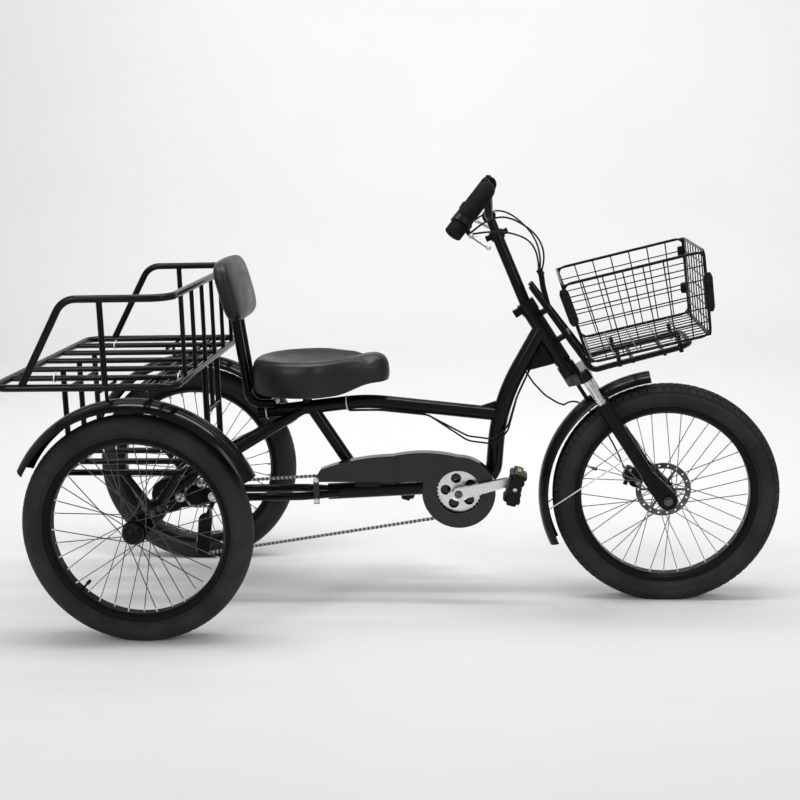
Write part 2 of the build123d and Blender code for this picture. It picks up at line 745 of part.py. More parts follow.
def backrest_posts():
    """Two bent posts from the pad down to a cross bar behind the saddle."""
    bars = []
    foot_z = UPPER_Z - 2
    for side in (-1, 1):
        y = side * POST_Y
        top, bend = (SADDLE_REAR_X - 52, y, SADDLE_Z + 241), (SADDLE_REAR_X - 16, y, foot_z)
        bars.append(tube([top, bend, (SEAT_X - 108, y, foot_z)], POST_R, [40]))
    bars.append(rod((SEAT_X - 112, -POST_Y, foot_z), (SEAT_X - 112, POST_Y, foot_z), POST_R - 1))
    return biggest(joined(bars) - BACKREST - UPPER - REAR_BRACES)


# Drive

CRANK_TURN = math.radians(CRANK_ANGLE)
PEDAL_DX = CRANK_LEN * math.cos(CRANK_TURN)
PEDAL_DZ = CRANK_LEN * math.sin(CRANK_TURN)
PEDAL_Y = CRANK_Y + CRANK_T + 8 + PEDAL_W / 2


def crankset():
    """The spindle, both arms with their pedal pins, and the toothed chainring with its round holes."""
    sketch = toothed(CHAINRING_R - CHAIN_PIN_H - 1, 5, CHAINRING_TEETH)
    sketch -= PolarLocations(CHAINRING_R * 0.55, 5, start_angle=30) * Circle(15)
    ring = plate(Pos(CRANK_X, CRANK_Z) * sketch, CHAIN_Y - 1.5, CHAIN_Y + 1.5)
    spider = disc(22, CHAIN_Y - 8, CHAIN_Y + 4, CRANK_X, CRANK_Z)
    spindle = disc(SPINDLE_R, -CRANK_Y - CRANK_T / 2, CRANK_Y + CRANK_T / 2, CRANK_X, CRANK_Z)
    pieces = [spindle, ring, spider]
    outline = hull((0, 0, 17), (CRANK_LEN, 0, 12))
    for side, turn in ((-1, CRANK_ANGLE), (1, 180 + CRANK_ANGLE)):
        low, high = sorted((side * CRANK_Y, side * (CRANK_Y + CRANK_T)))
        pieces.append(Pos(CRANK_X, 0, CRANK_Z) * Rot(0, -turn, 0) * plate(outline, low, high))
        pin = sorted((side * (CRANK_Y + 4), side * (PEDAL_Y + PEDAL_W / 2 - 6)))
        pieces.append(disc(PEDAL_PIN_R, *pin, CRANK_X - side * PEDAL_DX, CRANK_Z - side * PEDAL_DZ))
    return joined(pieces)


def pedal(side):
    """An open platform pedal standing on edge, with its middle barrel."""
    body = fillet(Box(PEDAL_T, PEDAL_W, PEDAL_LEN).edges().filter_by(Axis.Y), 6)
    window = Box(2 * PEDAL_T, PEDAL_W - 22, PEDAL_LEN / 2 - 26)
    for end in (-1, 1):
        body -= Pos(0, 0, end * (PEDAL_LEN / 4 + 2)) * window
    body -= Rot(90, 0, 0) * Cylinder(PEDAL_PIN_R + BEARING_GAP, 2 * PEDAL_W)
    return Pos(CRANK_X - side * PEDAL_DX, side * PEDAL_Y, CRANK_Z - side * PEDAL_DZ) * Rot(0, 16, 0) * body


def chain_cover():
    """The moulded cover: a round end about the chainring with a window, and a tail over the upper run."""
    low_z = CRANK_Z + 32
    crest = (CRANK_X, CRANK_Z + COVER_R)
    slope = (CRANK_X - 190, crest[1] + 3)
    tail_top, tail_low = (COVER_TAIL_X + 9, CRANK_Z + 68), (COVER_TAIL_X - 13, low_z)
    tail = make_face([
        ThreePointArc(crest, (CRANK_X - 80, crest[1] + 12), slope),
        ThreePointArc(slope, (CRANK_X - 305, crest[1] - 10), tail_top),
        Line(tail_top, tail_low),
        Line(tail_low, (CRANK_X, low_z)),
        Line((CRANK_X, low_z), crest),
    ])
    outline = tail + Pos(CRANK_X, CRANK_Z) * Circle(COVER_R)
    face_y = CHAIN_Y - COVER_DEPTH / 2 - 3
    back_y = face_y + COVER_DEPTH
    block = plate(outline, face_y, back_y)
    hollow = plate(offset(outline, amount=-COVER_T), face_y + COVER_T, back_y + 1)
    window = disc(COVER_WINDOW_R, face_y - 1, face_y + COVER_T + 1, CRANK_X, CRANK_Z)
    upper_run = Pos(COVER_TAIL_X, low_z + 13) * Rectangle(50, 16)
    lower_run = Pos(CRANK_X - 0.64 * COVER_R, CRANK_Z - 0.77 * COVER_R) * Rectangle(50, 24)
    shell = block - hollow - window - plate(upper_run + lower_run, CHAIN_Y - CHAIN_ROOM, back_y + 1)
    lug_x, lug_z = CRANK_X - 190, CRANK_Z + 84
    lug = tube([(lug_x, 0, CRANK_Z - 8), (lug_x, -30, lug_z), (lug_x, face_y + 1.5, lug_z)], 6, [20]) - MAIN
    strap_x, strap_z = COVER_TAIL_X - 4, STAY_Z - 2
    strap_len = low_z + 19 - strap_z
    strap_shape = Pos(strap_x, strap_z - 9 + strap_len / 2) * Rectangle(16, strap_len)
    strap = plate(strap_shape, face_y - 1, face_y + 3)
    pin = rod((strap_x, -25, strap_z), (strap_x, face_y + 1, strap_z), 6) - STAYS - MAIN
    back = disc(COVER_R - 1, back_y - 3, back_y - 1, CRANK_X, CRANK_Z)
    back -= disc(COVER_BORE_R, back_y - 4, back_y, CRANK_X, CRANK_Z)
    return joined([shell, biggest(lug), strap, biggest(pin), back])


GUIDE = (FREEWHEEL_X + 22, FREEWHEEL_Z - 75)
TENSION = (FREEWHEEL_X + 12, FREEWHEEL_Z - 165)


def chain():
    """The roller chain: a band high at each pin and narrow between, round the wheels and both pulleys."""
    c, f, p = CHAINRING_R, FREEWHEEL_R, PULLEY_R
    guide_x, tension_x = GUIDE[0] + p, TENSION[0] - p
    corners = [
        (CRANK_X + c, CRANK_Z + c + 5), (CRANK_X + c, CRANK_Z - c + 11), (tension_x, TENSION[1] - p),
        (tension_x, TENSION[1] + 30), (guide_x, GUIDE[1] - 8), (guide_x, FREEWHEEL_Z - f),
        (FREEWHEEL_X - f, FREEWHEEL_Z - f), (FREEWHEEL_X - f, FREEWHEEL_Z + f),
    ]
    path = FilletPolyline(*corners, radius=[c - 2, c - 2, p - 2, 14, 12, 14, f - 2, f - 2], close=True)
    count = 2 * round(path.length / CHAIN_PITCH)
    outer, inner = [], []
    for i in range(count):
        middle, along = path @ (i / count), path % (i / count)
        reach = CHAIN_WAIST_H if i % 2 else CHAIN_PIN_H
        across = Vector(-along.Y, along.X) * reach
        outer.append(middle - across)
        inner.append(middle + across)
    loops = [make_face(Polyline(*side, close=True)) for side in (outer, inner)]
    loops.sort(key=lambda face: face.area)
    return plate(loops[1] - loops[0], CHAIN_Y - CHAIN_W / 2, CHAIN_Y + CHAIN_W / 2)


CHAIN = chain()


def rear_gears():
    """The gear plate on the right stay with the stepped freewheel, and the derailleur's cage and pulleys."""
    plate_y = -STAY_Y - STAY_R - SEAT_GAP - 1
    tip = FREEWHEEL_R - CHAIN_PIN_H - 0.6
    x, z = FREEWHEEL_X, FREEWHEEL_Z
    outline = hull((x - 52, z - 20, 22), (x, z + 14, 32), (x + 48, STAY_Z, 18))
    pieces = [plate(outline, plate_y - 6, plate_y), disc(8, CHAIN_Y - 18, plate_y - 5, x, z)]
    for i in range(4):
        step = Pos(x, z) * toothed(tip - 3 * i, 4, 28 - 2 * i)
        pieces.append(plate(step, CHAIN_Y - 4 * i - 1.2, CHAIN_Y - 4 * i + 1.2))
    pieces.append(disc(tip - 14, CHAIN_Y - 14, CHAIN_Y + 3, x, z))
    cage = hull((*GUIDE, PULLEY_R + 1), (*TENSION, PULLEY_R + 1))
    for y in (CHAIN_Y - CHAIN_W / 2 - 2.5, CHAIN_Y + CHAIN_W / 2 + 0.5):
        pieces.append(plate(cage, y, y + 2))
    pulley = toothed(PULLEY_R - CHAIN_PIN_H - 0.6, 3, 11)
    for pin_x, pin_z in (GUIDE, TENSION):
        pieces.append(plate(Pos(pin_x, pin_z) * pulley, CHAIN_Y - 2, CHAIN_Y + 2))
        pieces.append(disc(4, CHAIN_Y - CHAIN_W / 2 - 4, CHAIN_Y + CHAIN_W / 2 + 4, pin_x, pin_z))
    hinge = (GUIDE[0] + 2, CHAIN_Y + CHAIN_W / 2 + 2, GUIDE[1] + 2)
    pieces.append(rod((x + 48, plate_y - 4, STAY_Z - 8), hinge, 7))
    return Compound((joined(pieces) - CHAIN - STAYS).solids())


def drive_unit():
    """The closed drive housing in the middle of the rear axle, one plain block with two rims."""
    half = STAY_Y - STAY_R - 4
    body = disc(DRIVE_UNIT_R, -half + 6, half - 6, REAR_AXLE_X, WHEEL_R)
    for side in (-1, 1):
        body += disc(DRIVE_UNIT_R - 8, *sorted((side * (half - 8), side * half)), REAR_AXLE_X, WHEEL_R)
    return body - AXLE_BEAM


# Front load carrier


def carrier_point(side, share):
    """A point down the sloping part of a carrier rail, from its top (0) to its bend (1)."""
    y = CARRIER_TOP_Y + (CARRIER_Y - CARRIER_TOP_Y) * share
    return head_point(40 + 22 * share, side * y, CARRIER_TOP + (CARRIER_LOW - CARRIER_TOP) * share)


def front_carrier():
    """A bent loop bolted to the head tube, with ties under the basket and four basket feet."""
    front = (CARRIER_FRONT_X, basket_point(CARRIER_FRONT_X - BASKET_X, 0, -BASKET_LIFT).Z)
    rails = []
    for side in (-1, 1):
        top, bend = carrier_point(side, 0), carrier_point(side, 1)
        step = (bend.X + 40, bend.Y, bend.Z + 12)
        rails.append([tuple(top), tuple(bend), step, (front[0], bend.Y, front[1])])
    bars = [tube(rails[0] + rails[1][::-1], CARRIER_R, [25, 25, 50, 50, 25, 25])]
    for share in (TIE_SHARE, 0.62):
        right, left = carrier_point(-1, share), carrier_point(1, share)
        middle = (right + left) * 0.5
        foot = middle - head_point(1, 0, 0) * 60 + head_point(0, 0, 0) * 60
        bars += [rod(right, left, CARRIER_R - 2), rod(foot, middle, CARRIER_R + 1)]
    for x in (80, 250):
        for side in (-1, 1):
            top = basket_point(x, side * CARRIER_Y, -SEAT_GAP)
            low = basket_point(x, side * CARRIER_Y, -BASKET_LIFT - 14)
            bars.append(rod(low, top, 6))
    for x in (118, 205):
        mid = basket_point(x, 0, -BASKET_LIFT - 8)
        bars.append(rod((mid.X, -CARRIER_Y, mid.Z), (mid.X, CARRIER_Y, mid.Z), CARRIER_R - 2))
    return biggest(joined(bars) - HEAD_SOLID)


CARRIER = front_carrier()


def wire_panel(corners, columns, rows):
    """A flat welded mesh between four corners: a sheet of wire thickness with its openings cut out."""
    low_left, low_right, high_right, high_left = (Vector(*corner) for corner in corners)
    width, height = (low_right - low_left).length, (high_left - low_left).length

    def place(u, v):
        low = low_left + (low_right - low_left) * u
        high = high_left + (high_right - high_left) * u
        return low + (high - low) * v

    def span(i, count, size):
        first = BASKET_FRAME if i == 0 else BASKET_WIRE / 2
        last = BASKET_FRAME if i == count - 1 else BASKET_WIRE / 2
        return i / count + first / size, (i + 1) / count - last / size

    cells = []
    for i in range(columns):
        left, right = span(i, columns, width)
        for j in range(rows):
            low, high = span(j, rows, height)
            ring = [place(left, low), place(right, low), place(right, high), place(left, high)]
            cells.append(make_face(Polyline(*ring, close=True)))
    sheet = make_face(Polyline(low_left, low_right, high_right, high_left, close=True))
    return extrude(sheet - cells, amount=BASKET_WIRE)


def basket_sides():
    corners = [(0, 0), (BASKET_LEN, 0), (BASKET_LEN + BASKET_FLARE, BASKET_H), (-BASKET_FLARE, BASKET_H)]
    panel = Pos(0, -BASKET_W / 2 + BASKET_WIRE, 0) * Rot(90, 0, 0) * wire_panel(corners, 7, 6)
    return both_sides(BASKET * panel)


def basket_ends():
    half = BASKET_W / 2 - BASKET_WIRE - SEAT_GAP
    slant = math.hypot(BASKET_H, BASKET_FLARE)
    panel = wire_panel([(-half, 0), (half, 0), (half, slant), (-half, slant)], 8, 6)
    front_origin = (BASKET_LEN - BASKET_WIRE, 0, 0)
    front = Plane(origin=front_origin, x_dir=(0, 1, 0), z_dir=(BASKET_H, 0, -BASKET_FLARE))
    rear = Plane(origin=(BASKET_WIRE, 0, 0), x_dir=(0, -1, 0), z_dir=(-BASKET_H, 0, -BASKET_FLARE))
    return Compound([*(BASKET * (front * panel)).solids(), *(BASKET * (rear * panel)).solids()])


def basket_floor():
    half, inset = BASKET_W / 2 - BASKET_WIRE - SEAT_GAP, BASKET_WIRE + 2
    corners = [(inset, -half), (BASKET_LEN - inset, -half), (BASKET_LEN - inset, half), (inset, half)]
    return BASKET * wire_panel(corners, 5, 10)


def basket_hinges():
    """The folding plates at the right-hand corners, and two small catches at the left front corner."""
    y = -BASKET_W / 2 - SEAT_GAP - 2.5
    plates = []
    for x, z in ((-24, BASKET_H * 0.74), (BASKET_LEN + 23, BASKET_H * 0.51)):
        leaf = fillet(Box(40, 5, 110).edges().filter_by(Axis.Y), 10)
        plates.append(BASKET * Pos(x, y, z) * leaf)
    for share in (0.34, 0.82):
        catch = fillet(Box(24, 5, 34).edges().filter_by(Axis.Y), 5)
        plates.append(BASKET * Pos(BASKET_LEN + BASKET_FLARE * share - 8, -y, BASKET_H * share) * catch)
    return Compound(solid for piece in plates for solid in piece.solids())


def frame_cables():
    """The sleeve where the bar cables meet, two cables along the frame, and the front brake's cable."""
    tie = (carrier_point(-1, TIE_SHARE) + carrier_point(1, TIE_SHARE)) * 0.5
    route = [head_point(82, 0, HEADSET_TOP + 44), head_point(66, 0, HEADSET_TOP + 8), tie]
    cables = [tube([tuple(point) for point in route], 8, [60]) - CARRIER]
    knee = Vector(*MAIN_KNEE)
    run = (MAIN_TOP - knee).normalized()
    ahead = Vector(run.Z, 0, -run.X) * (MAIN_R + CABLE_R)
    high, mid = knee + run * 150 + ahead, knee + run * 40 + ahead + Vector(9, 0, 0)
    for i in range(2):
        y, drop = -9.0 * i, 14.0 * i
        under = UPPER_Z - math.sqrt((UPPER_R + CABLE_R) ** 2 - (y - 4) ** 2)
        route = [
            (high.X, y, high.Z), (mid.X, y, mid.Z), (DOWN_X + 44, -MAIN_R, CRANK_Z + 175 - drop),
            (DOWN_X + 2, -MAIN_R - CABLE_R - 4.4, CRANK_Z + 142 - drop),
            (DOWN_X - 70, -24, CRANK_Z + 150 - drop), (DOWN_X - 187, y - 4, under - 21),
            (SEAT_X + 200, y - 4, under - 6), (SEAT_X + 110, y - 4, under - 6.5),
        ]
        cables.append(tube(route, CABLE_R, [120, 50, 24, 60, 60, 300]) - MAIN - UPPER - SEAT_BRACE)
    brake = [(-106, 12, 201), (-105, 12, 152), (-96, 10, 104), (-78, 8, 67), (-64, 6, 50)]
    points = [tuple(head_point(x, y, WHEEL_R + z)) for x, y, z in brake]
    cables.append(tube(points, CABLE_R, [80, 60, 40]) - MAIN)
    return Compound(biggest(cable) for cable in cables)


PARTS = {
    "front_tyre": FRONT_WHEEL_PLACE * tyre(),
    "front_wheel": FRONT_WHEEL_PLACE * front_wheel(),
    "brake_rotor": FRONT_WHEEL_PLACE * brake_rotor(),
    "tyre_right": RIGHT_WHEEL_PLACE * tyre(),
    "wheel_right": RIGHT_WHEEL_PLACE * rear_wheel(),
    "shaft_right": RIGHT_WHEEL_PLACE * rear_shaft(),
    "tyre_left": mirrored(RIGHT_WHEEL_PLACE * tyre()),
    "wheel_left": mirrored(RIGHT_WHEEL_PLACE * rear_wheel()),
    "shaft_left": mirrored(RIGHT_WHEEL_PLACE * rear_shaft()),
    "fork_crown": fork_crown(),
    "fork_legs": LEGS,
    "front_axle": front_axle(),
    "front_fender": front_fender(),
    "brake_caliper": CALIPER,
    "stem": stem(),
    "handlebar": handlebar(),
    "grips": grips(),
    "brake_levers": LEVERS,
    "bar_cables": bar_cables(),
    "head_tube": head_tube(),
    "main_tube": MAIN,
    "upper_tube": UPPER,
    "seat_brace": SEAT_BRACE,
    "rear_braces": REAR_BRACES,
    "lower_stays": STAYS,
    "axle_carrier": AXLE_CARRIER,
    "axle_struts": axle_struts(),
    "drive_unit": drive_unit(),
    "rear_gears": rear_gears(),
    "chain": CHAIN,
    "chain_cover": chain_cover(),
    "crankset": crankset(),
    "pedal_right": pedal(-1),
    "pedal_left": pedal(1),
    "rack_deck": DECK,
    "rack_side_rails": side_rails(),
    "rack_front_fence": front_fence(),
    "rack_legs": rack_legs(),
    "under_tray": TRAY,
    "rear_fenders": rear_fenders(),
    "saddle": SADDLE,
    "saddle_post": saddle_post(),
    "backrest": BACKREST,
    "backrest_posts": backrest_posts(),
    "front_carrier": CARRIER,
    "basket_sides": basket_sides(),
    "basket_ends": basket_ends(),
    "basket_floor": basket_floor(),
    "basket_hinges": basket_hinges(),
    "frame_cables": frame_cables(),
}

os.makedirs("parts", exist_ok=True)
for name, shape in PARTS.items():
    export_step(shape, f"parts/{name}.step")
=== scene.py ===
import math

import bmesh
import bpy
from mathutils import Matrix, Vector


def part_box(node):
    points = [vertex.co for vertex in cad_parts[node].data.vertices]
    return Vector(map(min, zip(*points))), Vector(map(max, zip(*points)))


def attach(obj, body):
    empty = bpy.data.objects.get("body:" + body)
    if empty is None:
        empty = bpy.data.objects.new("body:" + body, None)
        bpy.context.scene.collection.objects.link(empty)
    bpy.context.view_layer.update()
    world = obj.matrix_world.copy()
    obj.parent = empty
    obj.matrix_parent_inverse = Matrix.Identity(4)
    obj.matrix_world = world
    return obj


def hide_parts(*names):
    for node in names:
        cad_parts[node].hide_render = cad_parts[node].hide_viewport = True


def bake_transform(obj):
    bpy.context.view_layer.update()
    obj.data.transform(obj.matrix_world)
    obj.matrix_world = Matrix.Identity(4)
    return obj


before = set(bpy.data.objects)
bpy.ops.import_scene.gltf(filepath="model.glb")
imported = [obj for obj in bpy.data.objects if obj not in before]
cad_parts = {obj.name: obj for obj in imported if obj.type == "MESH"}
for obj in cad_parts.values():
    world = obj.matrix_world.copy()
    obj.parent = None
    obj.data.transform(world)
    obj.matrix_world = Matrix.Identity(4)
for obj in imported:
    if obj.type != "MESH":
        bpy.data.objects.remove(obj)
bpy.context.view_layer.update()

# Places on the tricycle, in metres
FRONT_HUB = Vector((0.749, 0.0, 0.324))
RIGHT_HUB = Vector((-0.709, -0.3505, 0.324))
LEFT_HUB = Vector((-0.709, 0.3505, 0.324))
HUBS = {"front": FRONT_HUB, "right": RIGHT_HUB, "left": LEFT_HUB}
CRANK = Vector((0.157, 0.0, 0.352))
RIM_R = 0.240
SPOKES = 36
CABLE_R = 0.0026
CHAIN_PITCH = 0.0127
HEAD_TILT = math.radians(32.0)
HEAD_FOOT = Vector((0.7134, 0.0, 0.3017))
HEAD_UP = Vector((-math.sin(HEAD_TILT), 0.0, math.cos(HEAD_TILT)))
HEAD_AHEAD = Vector((math.cos(HEAD_TILT), 0.0, math.sin(HEAD_TILT)))
BASKET = Matrix.Translation((0.520, 0, 0.746)) @ Matrix.Rotation(math.radians(-13), 4, "Y")
PEDAL_TILT = math.radians(16)
SIDE = (0, -1, 0)
LONG = (1, 0, 0)
UPPER_TUBE = (0.994, 0, 0.109)


def on_head(ahead, side, up):
    """A place measured from the steering axis: ahead of it, to the left, and up along it."""
    return HEAD_FOOT + HEAD_AHEAD * ahead + Vector((0, side, 0)) + HEAD_UP * up


def round_axle(axle, reach, turn, y):
    """A place round an axle along Y, out by reach and turned by an angle."""
    return Vector((axle.x + reach * math.cos(turn), y, axle.z + reach * math.sin(turn)))


def wheel_body(place):
    return "front_wheel" if place == "front" else f"rear_wheel_{place}"


# Finishes

BLACK_SHINE = 0.14


class Finish:
    """A material under construction, with short calls for the nodes it needs."""

    def __init__(self, name):
        self.material = bpy.data.materials.new(name)
        self.material.use_nodes = True
        self.tree = self.material.node_tree
        self.shader = self.tree.nodes["Principled BSDF"]
        self.coords = self.tree.nodes.new("ShaderNodeTexCoord").outputs["Object"]

    def node(self, kind, **settings):
        made = self.tree.nodes.new(kind)
        for key, value in settings.items():
            setattr(made, key, value)
        return made

    def link(self, source, target):
        self.tree.links.new(source, target)

    def put(self, **sockets):
        for key, value in sockets.items():
            self.shader.inputs[key.replace("_", " ")].default_value = value

    def noise(self, scale, detail=3.0, coords=None):
        made = self.node("ShaderNodeTexNoise")
        made.inputs["Scale"].default_value = scale
        made.inputs["Detail"].default_value = detail
        self.link(coords or self.coords, made.inputs["Vector"])
        return made.outputs["Fac"]

    def cells(self, scale):
        made = self.node("ShaderNodeTexVoronoi")
        made.inputs["Scale"].default_value = scale
        self.link(self.coords, made.inputs["Vector"])
        return made.outputs["Distance"]

    def math(self, what, first, second=0.5):
        made = self.node("ShaderNodeMath", operation=what)
        for socket, value in zip(made.inputs, (first, second)):
            if isinstance(value, (int, float)):
                socket.default_value = value
            else:
                self.link(value, socket)
        return made.outputs[0]

    def spread(self, fac, low, high, from_low=0.3, from_high=0.7):
        made = self.node("ShaderNodeMapRange")
        made.inputs["From Min"].default_value = from_low
        made.inputs["From Max"].default_value = from_high
        made.inputs["To Min"].default_value = low
        made.inputs["To Max"].default_value = high
        self.link(fac, made.inputs["Value"])
        return made.outputs["Result"]

    def mix(self, fac, first, second):
        made = self.node("ShaderNodeMix", data_type="RGBA")
        self.link(fac, made.inputs["Factor"])
        for socket, value in zip((made.inputs[6], made.inputs[7]), (first, second)):
            if isinstance(value, tuple):
                socket.default_value = (*value, 1.0)
            else:
                self.link(value, socket)
        return made.outputs[2]

    def mottle(self, first, second, scale, detail=3.0):
        """Two tones mixed in soft patches."""
        return self.mix(self.spread(self.noise(scale, detail), 0.0, 1.0), first, second)

    def mix_value(self, fac, first, second):
        made = self.node("ShaderNodeMix", data_type="FLOAT")
        self.link(fac, made.inputs["Factor"])
        for socket, value in zip((made.inputs[2], made.inputs[3]), (first, second)):
            if isinstance(value, (int, float)):
                socket.default_value = value
            else:
                self.link(value, socket)
        return made.outputs[0]

    def colour(self, source):
        self.link(source, self.shader.inputs["Base Color"])

    def rough(self, source):
        self.link(source, self.shader.inputs["Roughness"])

    def metal(self, source):
        self.link(source, self.shader.inputs["Metallic"])

    def relief(self, height, strength, distance):
        bump = self.node("ShaderNodeBump")
        bump.inputs["Strength"].default_value = strength
        bump.inputs["Distance"].default_value = distance
        self.link(height, bump.inputs["Height"])
        self.link(bump.outputs["Normal"], self.shader.inputs["Normal"])

    def away_from(self, centre):
        """Distance from an axis along Y through the given place."""
        parts = self.node("ShaderNodeSeparateXYZ")
        self.link(self.coords, parts.inputs[0])
        dx = self.math("SUBTRACT", parts.outputs["X"], centre.x)
        dz = self.math("SUBTRACT", parts.outputs["Z"], centre.z)
        square = self.math("ADD", self.math("MULTIPLY", dx, dx), self.math("MULTIPLY", dz, dz))
        return self.math("SQRT", square)

    def along(self, direction, origin):
        """Distance along a direction from the given place."""
        made = self.node("ShaderNodeVectorMath", operation="DOT_PRODUCT")
        self.link(self.coords, made.inputs[0])
        made.inputs[1].default_value = direction
        return self.math("SUBTRACT", made.outputs["Value"], direction.dot(origin))


def gloss_black(name="gloss_black_paint", tone=0.0024, base_rough=0.12):
    """Black enamel on steel tube: a clear shine, faint orange peel, a little dust, dull patches."""
    f = Finish(name)
    clean, dusty = (tone, tone, tone * 1.06), (tone * 2.4, tone * 2.4, tone * 2.5)
    f.colour(f.mix(f.spread(f.noise(9.0, 6.0), 0.0, 1.0, 0.42, 0.8), clean, dusty))
    f.rough(f.spread(f.noise(34.0, 4.0), base_rough, base_rough + 0.14))
    f.put(Specular_IOR_Level=BLACK_SHINE, Coat_Weight=0.08, Coat_Roughness=0.05)
    f.relief(f.noise(420.0, 2.0), 0.05, 0.0006)
    return f.material


def satin_black():
    """Dull black metal for the brake, the gears and the drive unit."""
    f = Finish("satin_black_metal")
    f.colour(f.mottle((0.0035, 0.0035, 0.0035), (0.0070, 0.0070, 0.00735), 14.0, 5.0))
    f.rough(f.spread(f.noise(60.0, 4.0), 0.36, 0.52))
    f.put(Specular_IOR_Level=BLACK_SHINE)
    f.relief(f.noise(900.0, 2.0), 0.08, 0.0004)
    return f.material


def wheel_finish(name, hub_place, hub_r, spoke_tone):
    """Black rim and hub with plain steel spokes between them."""
    f = Finish(name)
    reach = f.away_from(hub_place)
    past_hub = f.math("GREATER_THAN", reach, hub_r)
    spoke = f.math("MULTIPLY", past_hub, f.math("LESS_THAN", reach, RIM_R - 0.0015))
    black = f.mottle((0.0025, 0.0025, 0.0025), (0.005, 0.005, 0.0052), 16.0, 5.0)
    f.put(Specular_IOR_Level=0.12)
    dim = tuple(spoke_tone * share for share in (0.7, 0.7, 0.72))
    lit = tuple(spoke_tone * share for share in (1.2, 1.2, 1.24))
    f.colour(f.mix(spoke, black, f.mottle(dim, lit, 120.0)))
    f.metal(f.mix_value(spoke, 0.0, 1.0))
    painted, bare = f.spread(f.noise(50.0), 0.30, 0.44), f.spread(f.noise(200.0), 0.26, 0.40)
    f.rough(f.mix_value(spoke, painted, bare))
    f.relief(f.noise(700.0, 2.0), 0.05, 0.0004)
    return f.material


def tyre_rubber(name, hub_place):
    """Matt black rubber with fine rings on the side walls and a little grey road dust."""
    f = Finish(name)
    reach = f.away_from(hub_place)
    dust = f.spread(f.noise(11.0, 6.0), 0.0, 1.0, 0.38, 0.75)
    f.colour(f.mix(dust, (0.0152, 0.0152, 0.0165), (0.0290, 0.0290, 0.0315)))
    f.rough(f.spread(f.noise(40.0, 5.0), 0.52, 0.72))
    f.put(Specular_IOR_Level=0.18)
    rings = f.math("SINE", f.math("MULTIPLY", reach, 1900.0))
    grain = f.math("ADD", f.math("MULTIPLY", rings, 0.25), f.noise(650.0, 4.0))
    f.relief(grain, 0.20, 0.0006)
    return f.material


def grained_leather():
    """Black imitation leather: fine pebble grain, soft shine, a few dull and worn places."""
    f = Finish("black_grained_leather")
    worn = f.spread(f.noise(7.0, 5.0), 0.0, 1.0, 0.4, 0.75)
    f.colour(f.mix(worn, (0.0034, 0.0034, 0.0039), (0.0068, 0.0068, 0.0076)))
    f.rough(f.spread(f.noise(24.0, 5.0), 0.31, 0.46))
    grain = f.math("ADD", f.cells(520.0), f.math("MULTIPLY", f.noise(1300.0, 3.0), 0.5))
    f.relief(grain, 0.22, 0.0008)
    f.put(Specular_IOR_Level=0.40)
    return f.material


def foam_sleeve():
    """Dull black foam with open pores, for the grips."""
    f = Finish("black_foam")
    f.colour(f.mottle((0.0035, 0.0035, 0.0035), (0.007, 0.007, 0.0073), 30.0, 6.0))
    f.put(Specular_IOR_Level=0.10)
    f.rough(f.spread(f.noise(90.0, 4.0), 0.70, 0.90))
    f.relief(f.math("ADD", f.cells(700.0), f.noise(1500.0, 3.0)), 0.35, 0.0008)
    return f.material


def bright_metal(name, tone, low, high):
    """Bare or plated metal with fine drawn streaks and slightly uneven shine."""
    f = Finish(name)
    stretch = f.node("ShaderNodeMapping")
    stretch.inputs["Scale"].default_value = (40.0, 40.0, 700.0)
    f.link(f.coords, stretch.inputs["Vector"])
    lines = f.noise(1.0, 4.0, stretch.outputs["Vector"])
    dark = tuple(value * 0.72 for value in tone)
    f.colour(f.mix(f.spread(lines, 0.0, 1.0), dark, tone))
    f.rough(f.spread(f.noise(26.0, 5.0), low, high))
    f.put(Metallic=1.0)
    f.relief(lines, 0.06, 0.0003)
    return f.material


def black_plastic(name="black_moulded_plastic", tone=0.0040, low=0.34, high=0.50,
                  grain=1100.0, depth=0.12, shine=0.16):
    """Black moulded plastic or sheath, with a fine or coarse grain."""
    f = Finish(name)
    f.put(Specular_IOR_Level=shine)
    f.colour(f.mottle((tone, tone, tone), (tone * 1.8, tone * 1.8, tone * 1.85), 18.0, 5.0))
    f.rough(f.spread(f.noise(45.0, 4.0), low, high))
    f.relief(f.cells(grain), depth, 0.0004)
    return f.material


def fork_finish():
    """Black lower legs with bright plated stanchions above the boots."""
    boot_top = 0.3352
    f = Finish("fork_black_and_plated")
    plated = f.math("GREATER_THAN", f.along(HEAD_UP, HEAD_FOOT), boot_top)
    black = f.mottle((0.0028, 0.0028, 0.0028), (0.0055, 0.0055, 0.0058), 16.0, 5.0)
    f.put(Specular_IOR_Level=BLACK_SHINE)
    chrome = f.mottle((0.62, 0.62, 0.63), (0.80, 0.80, 0.81), 60.0)
    f.colour(f.mix(plated, black, chrome))
    f.metal(f.mix_value(plated, 0.0, 1.0))
    painted, bare = f.spread(f.noise(40.0), 0.24, 0.38), f.spread(f.noise(80.0), 0.06, 0.16)
    f.rough(f.mix_value(plated, painted, bare))
    f.relief(f.noise(600.0, 2.0), 0.05, 0.0004)
    return f.material


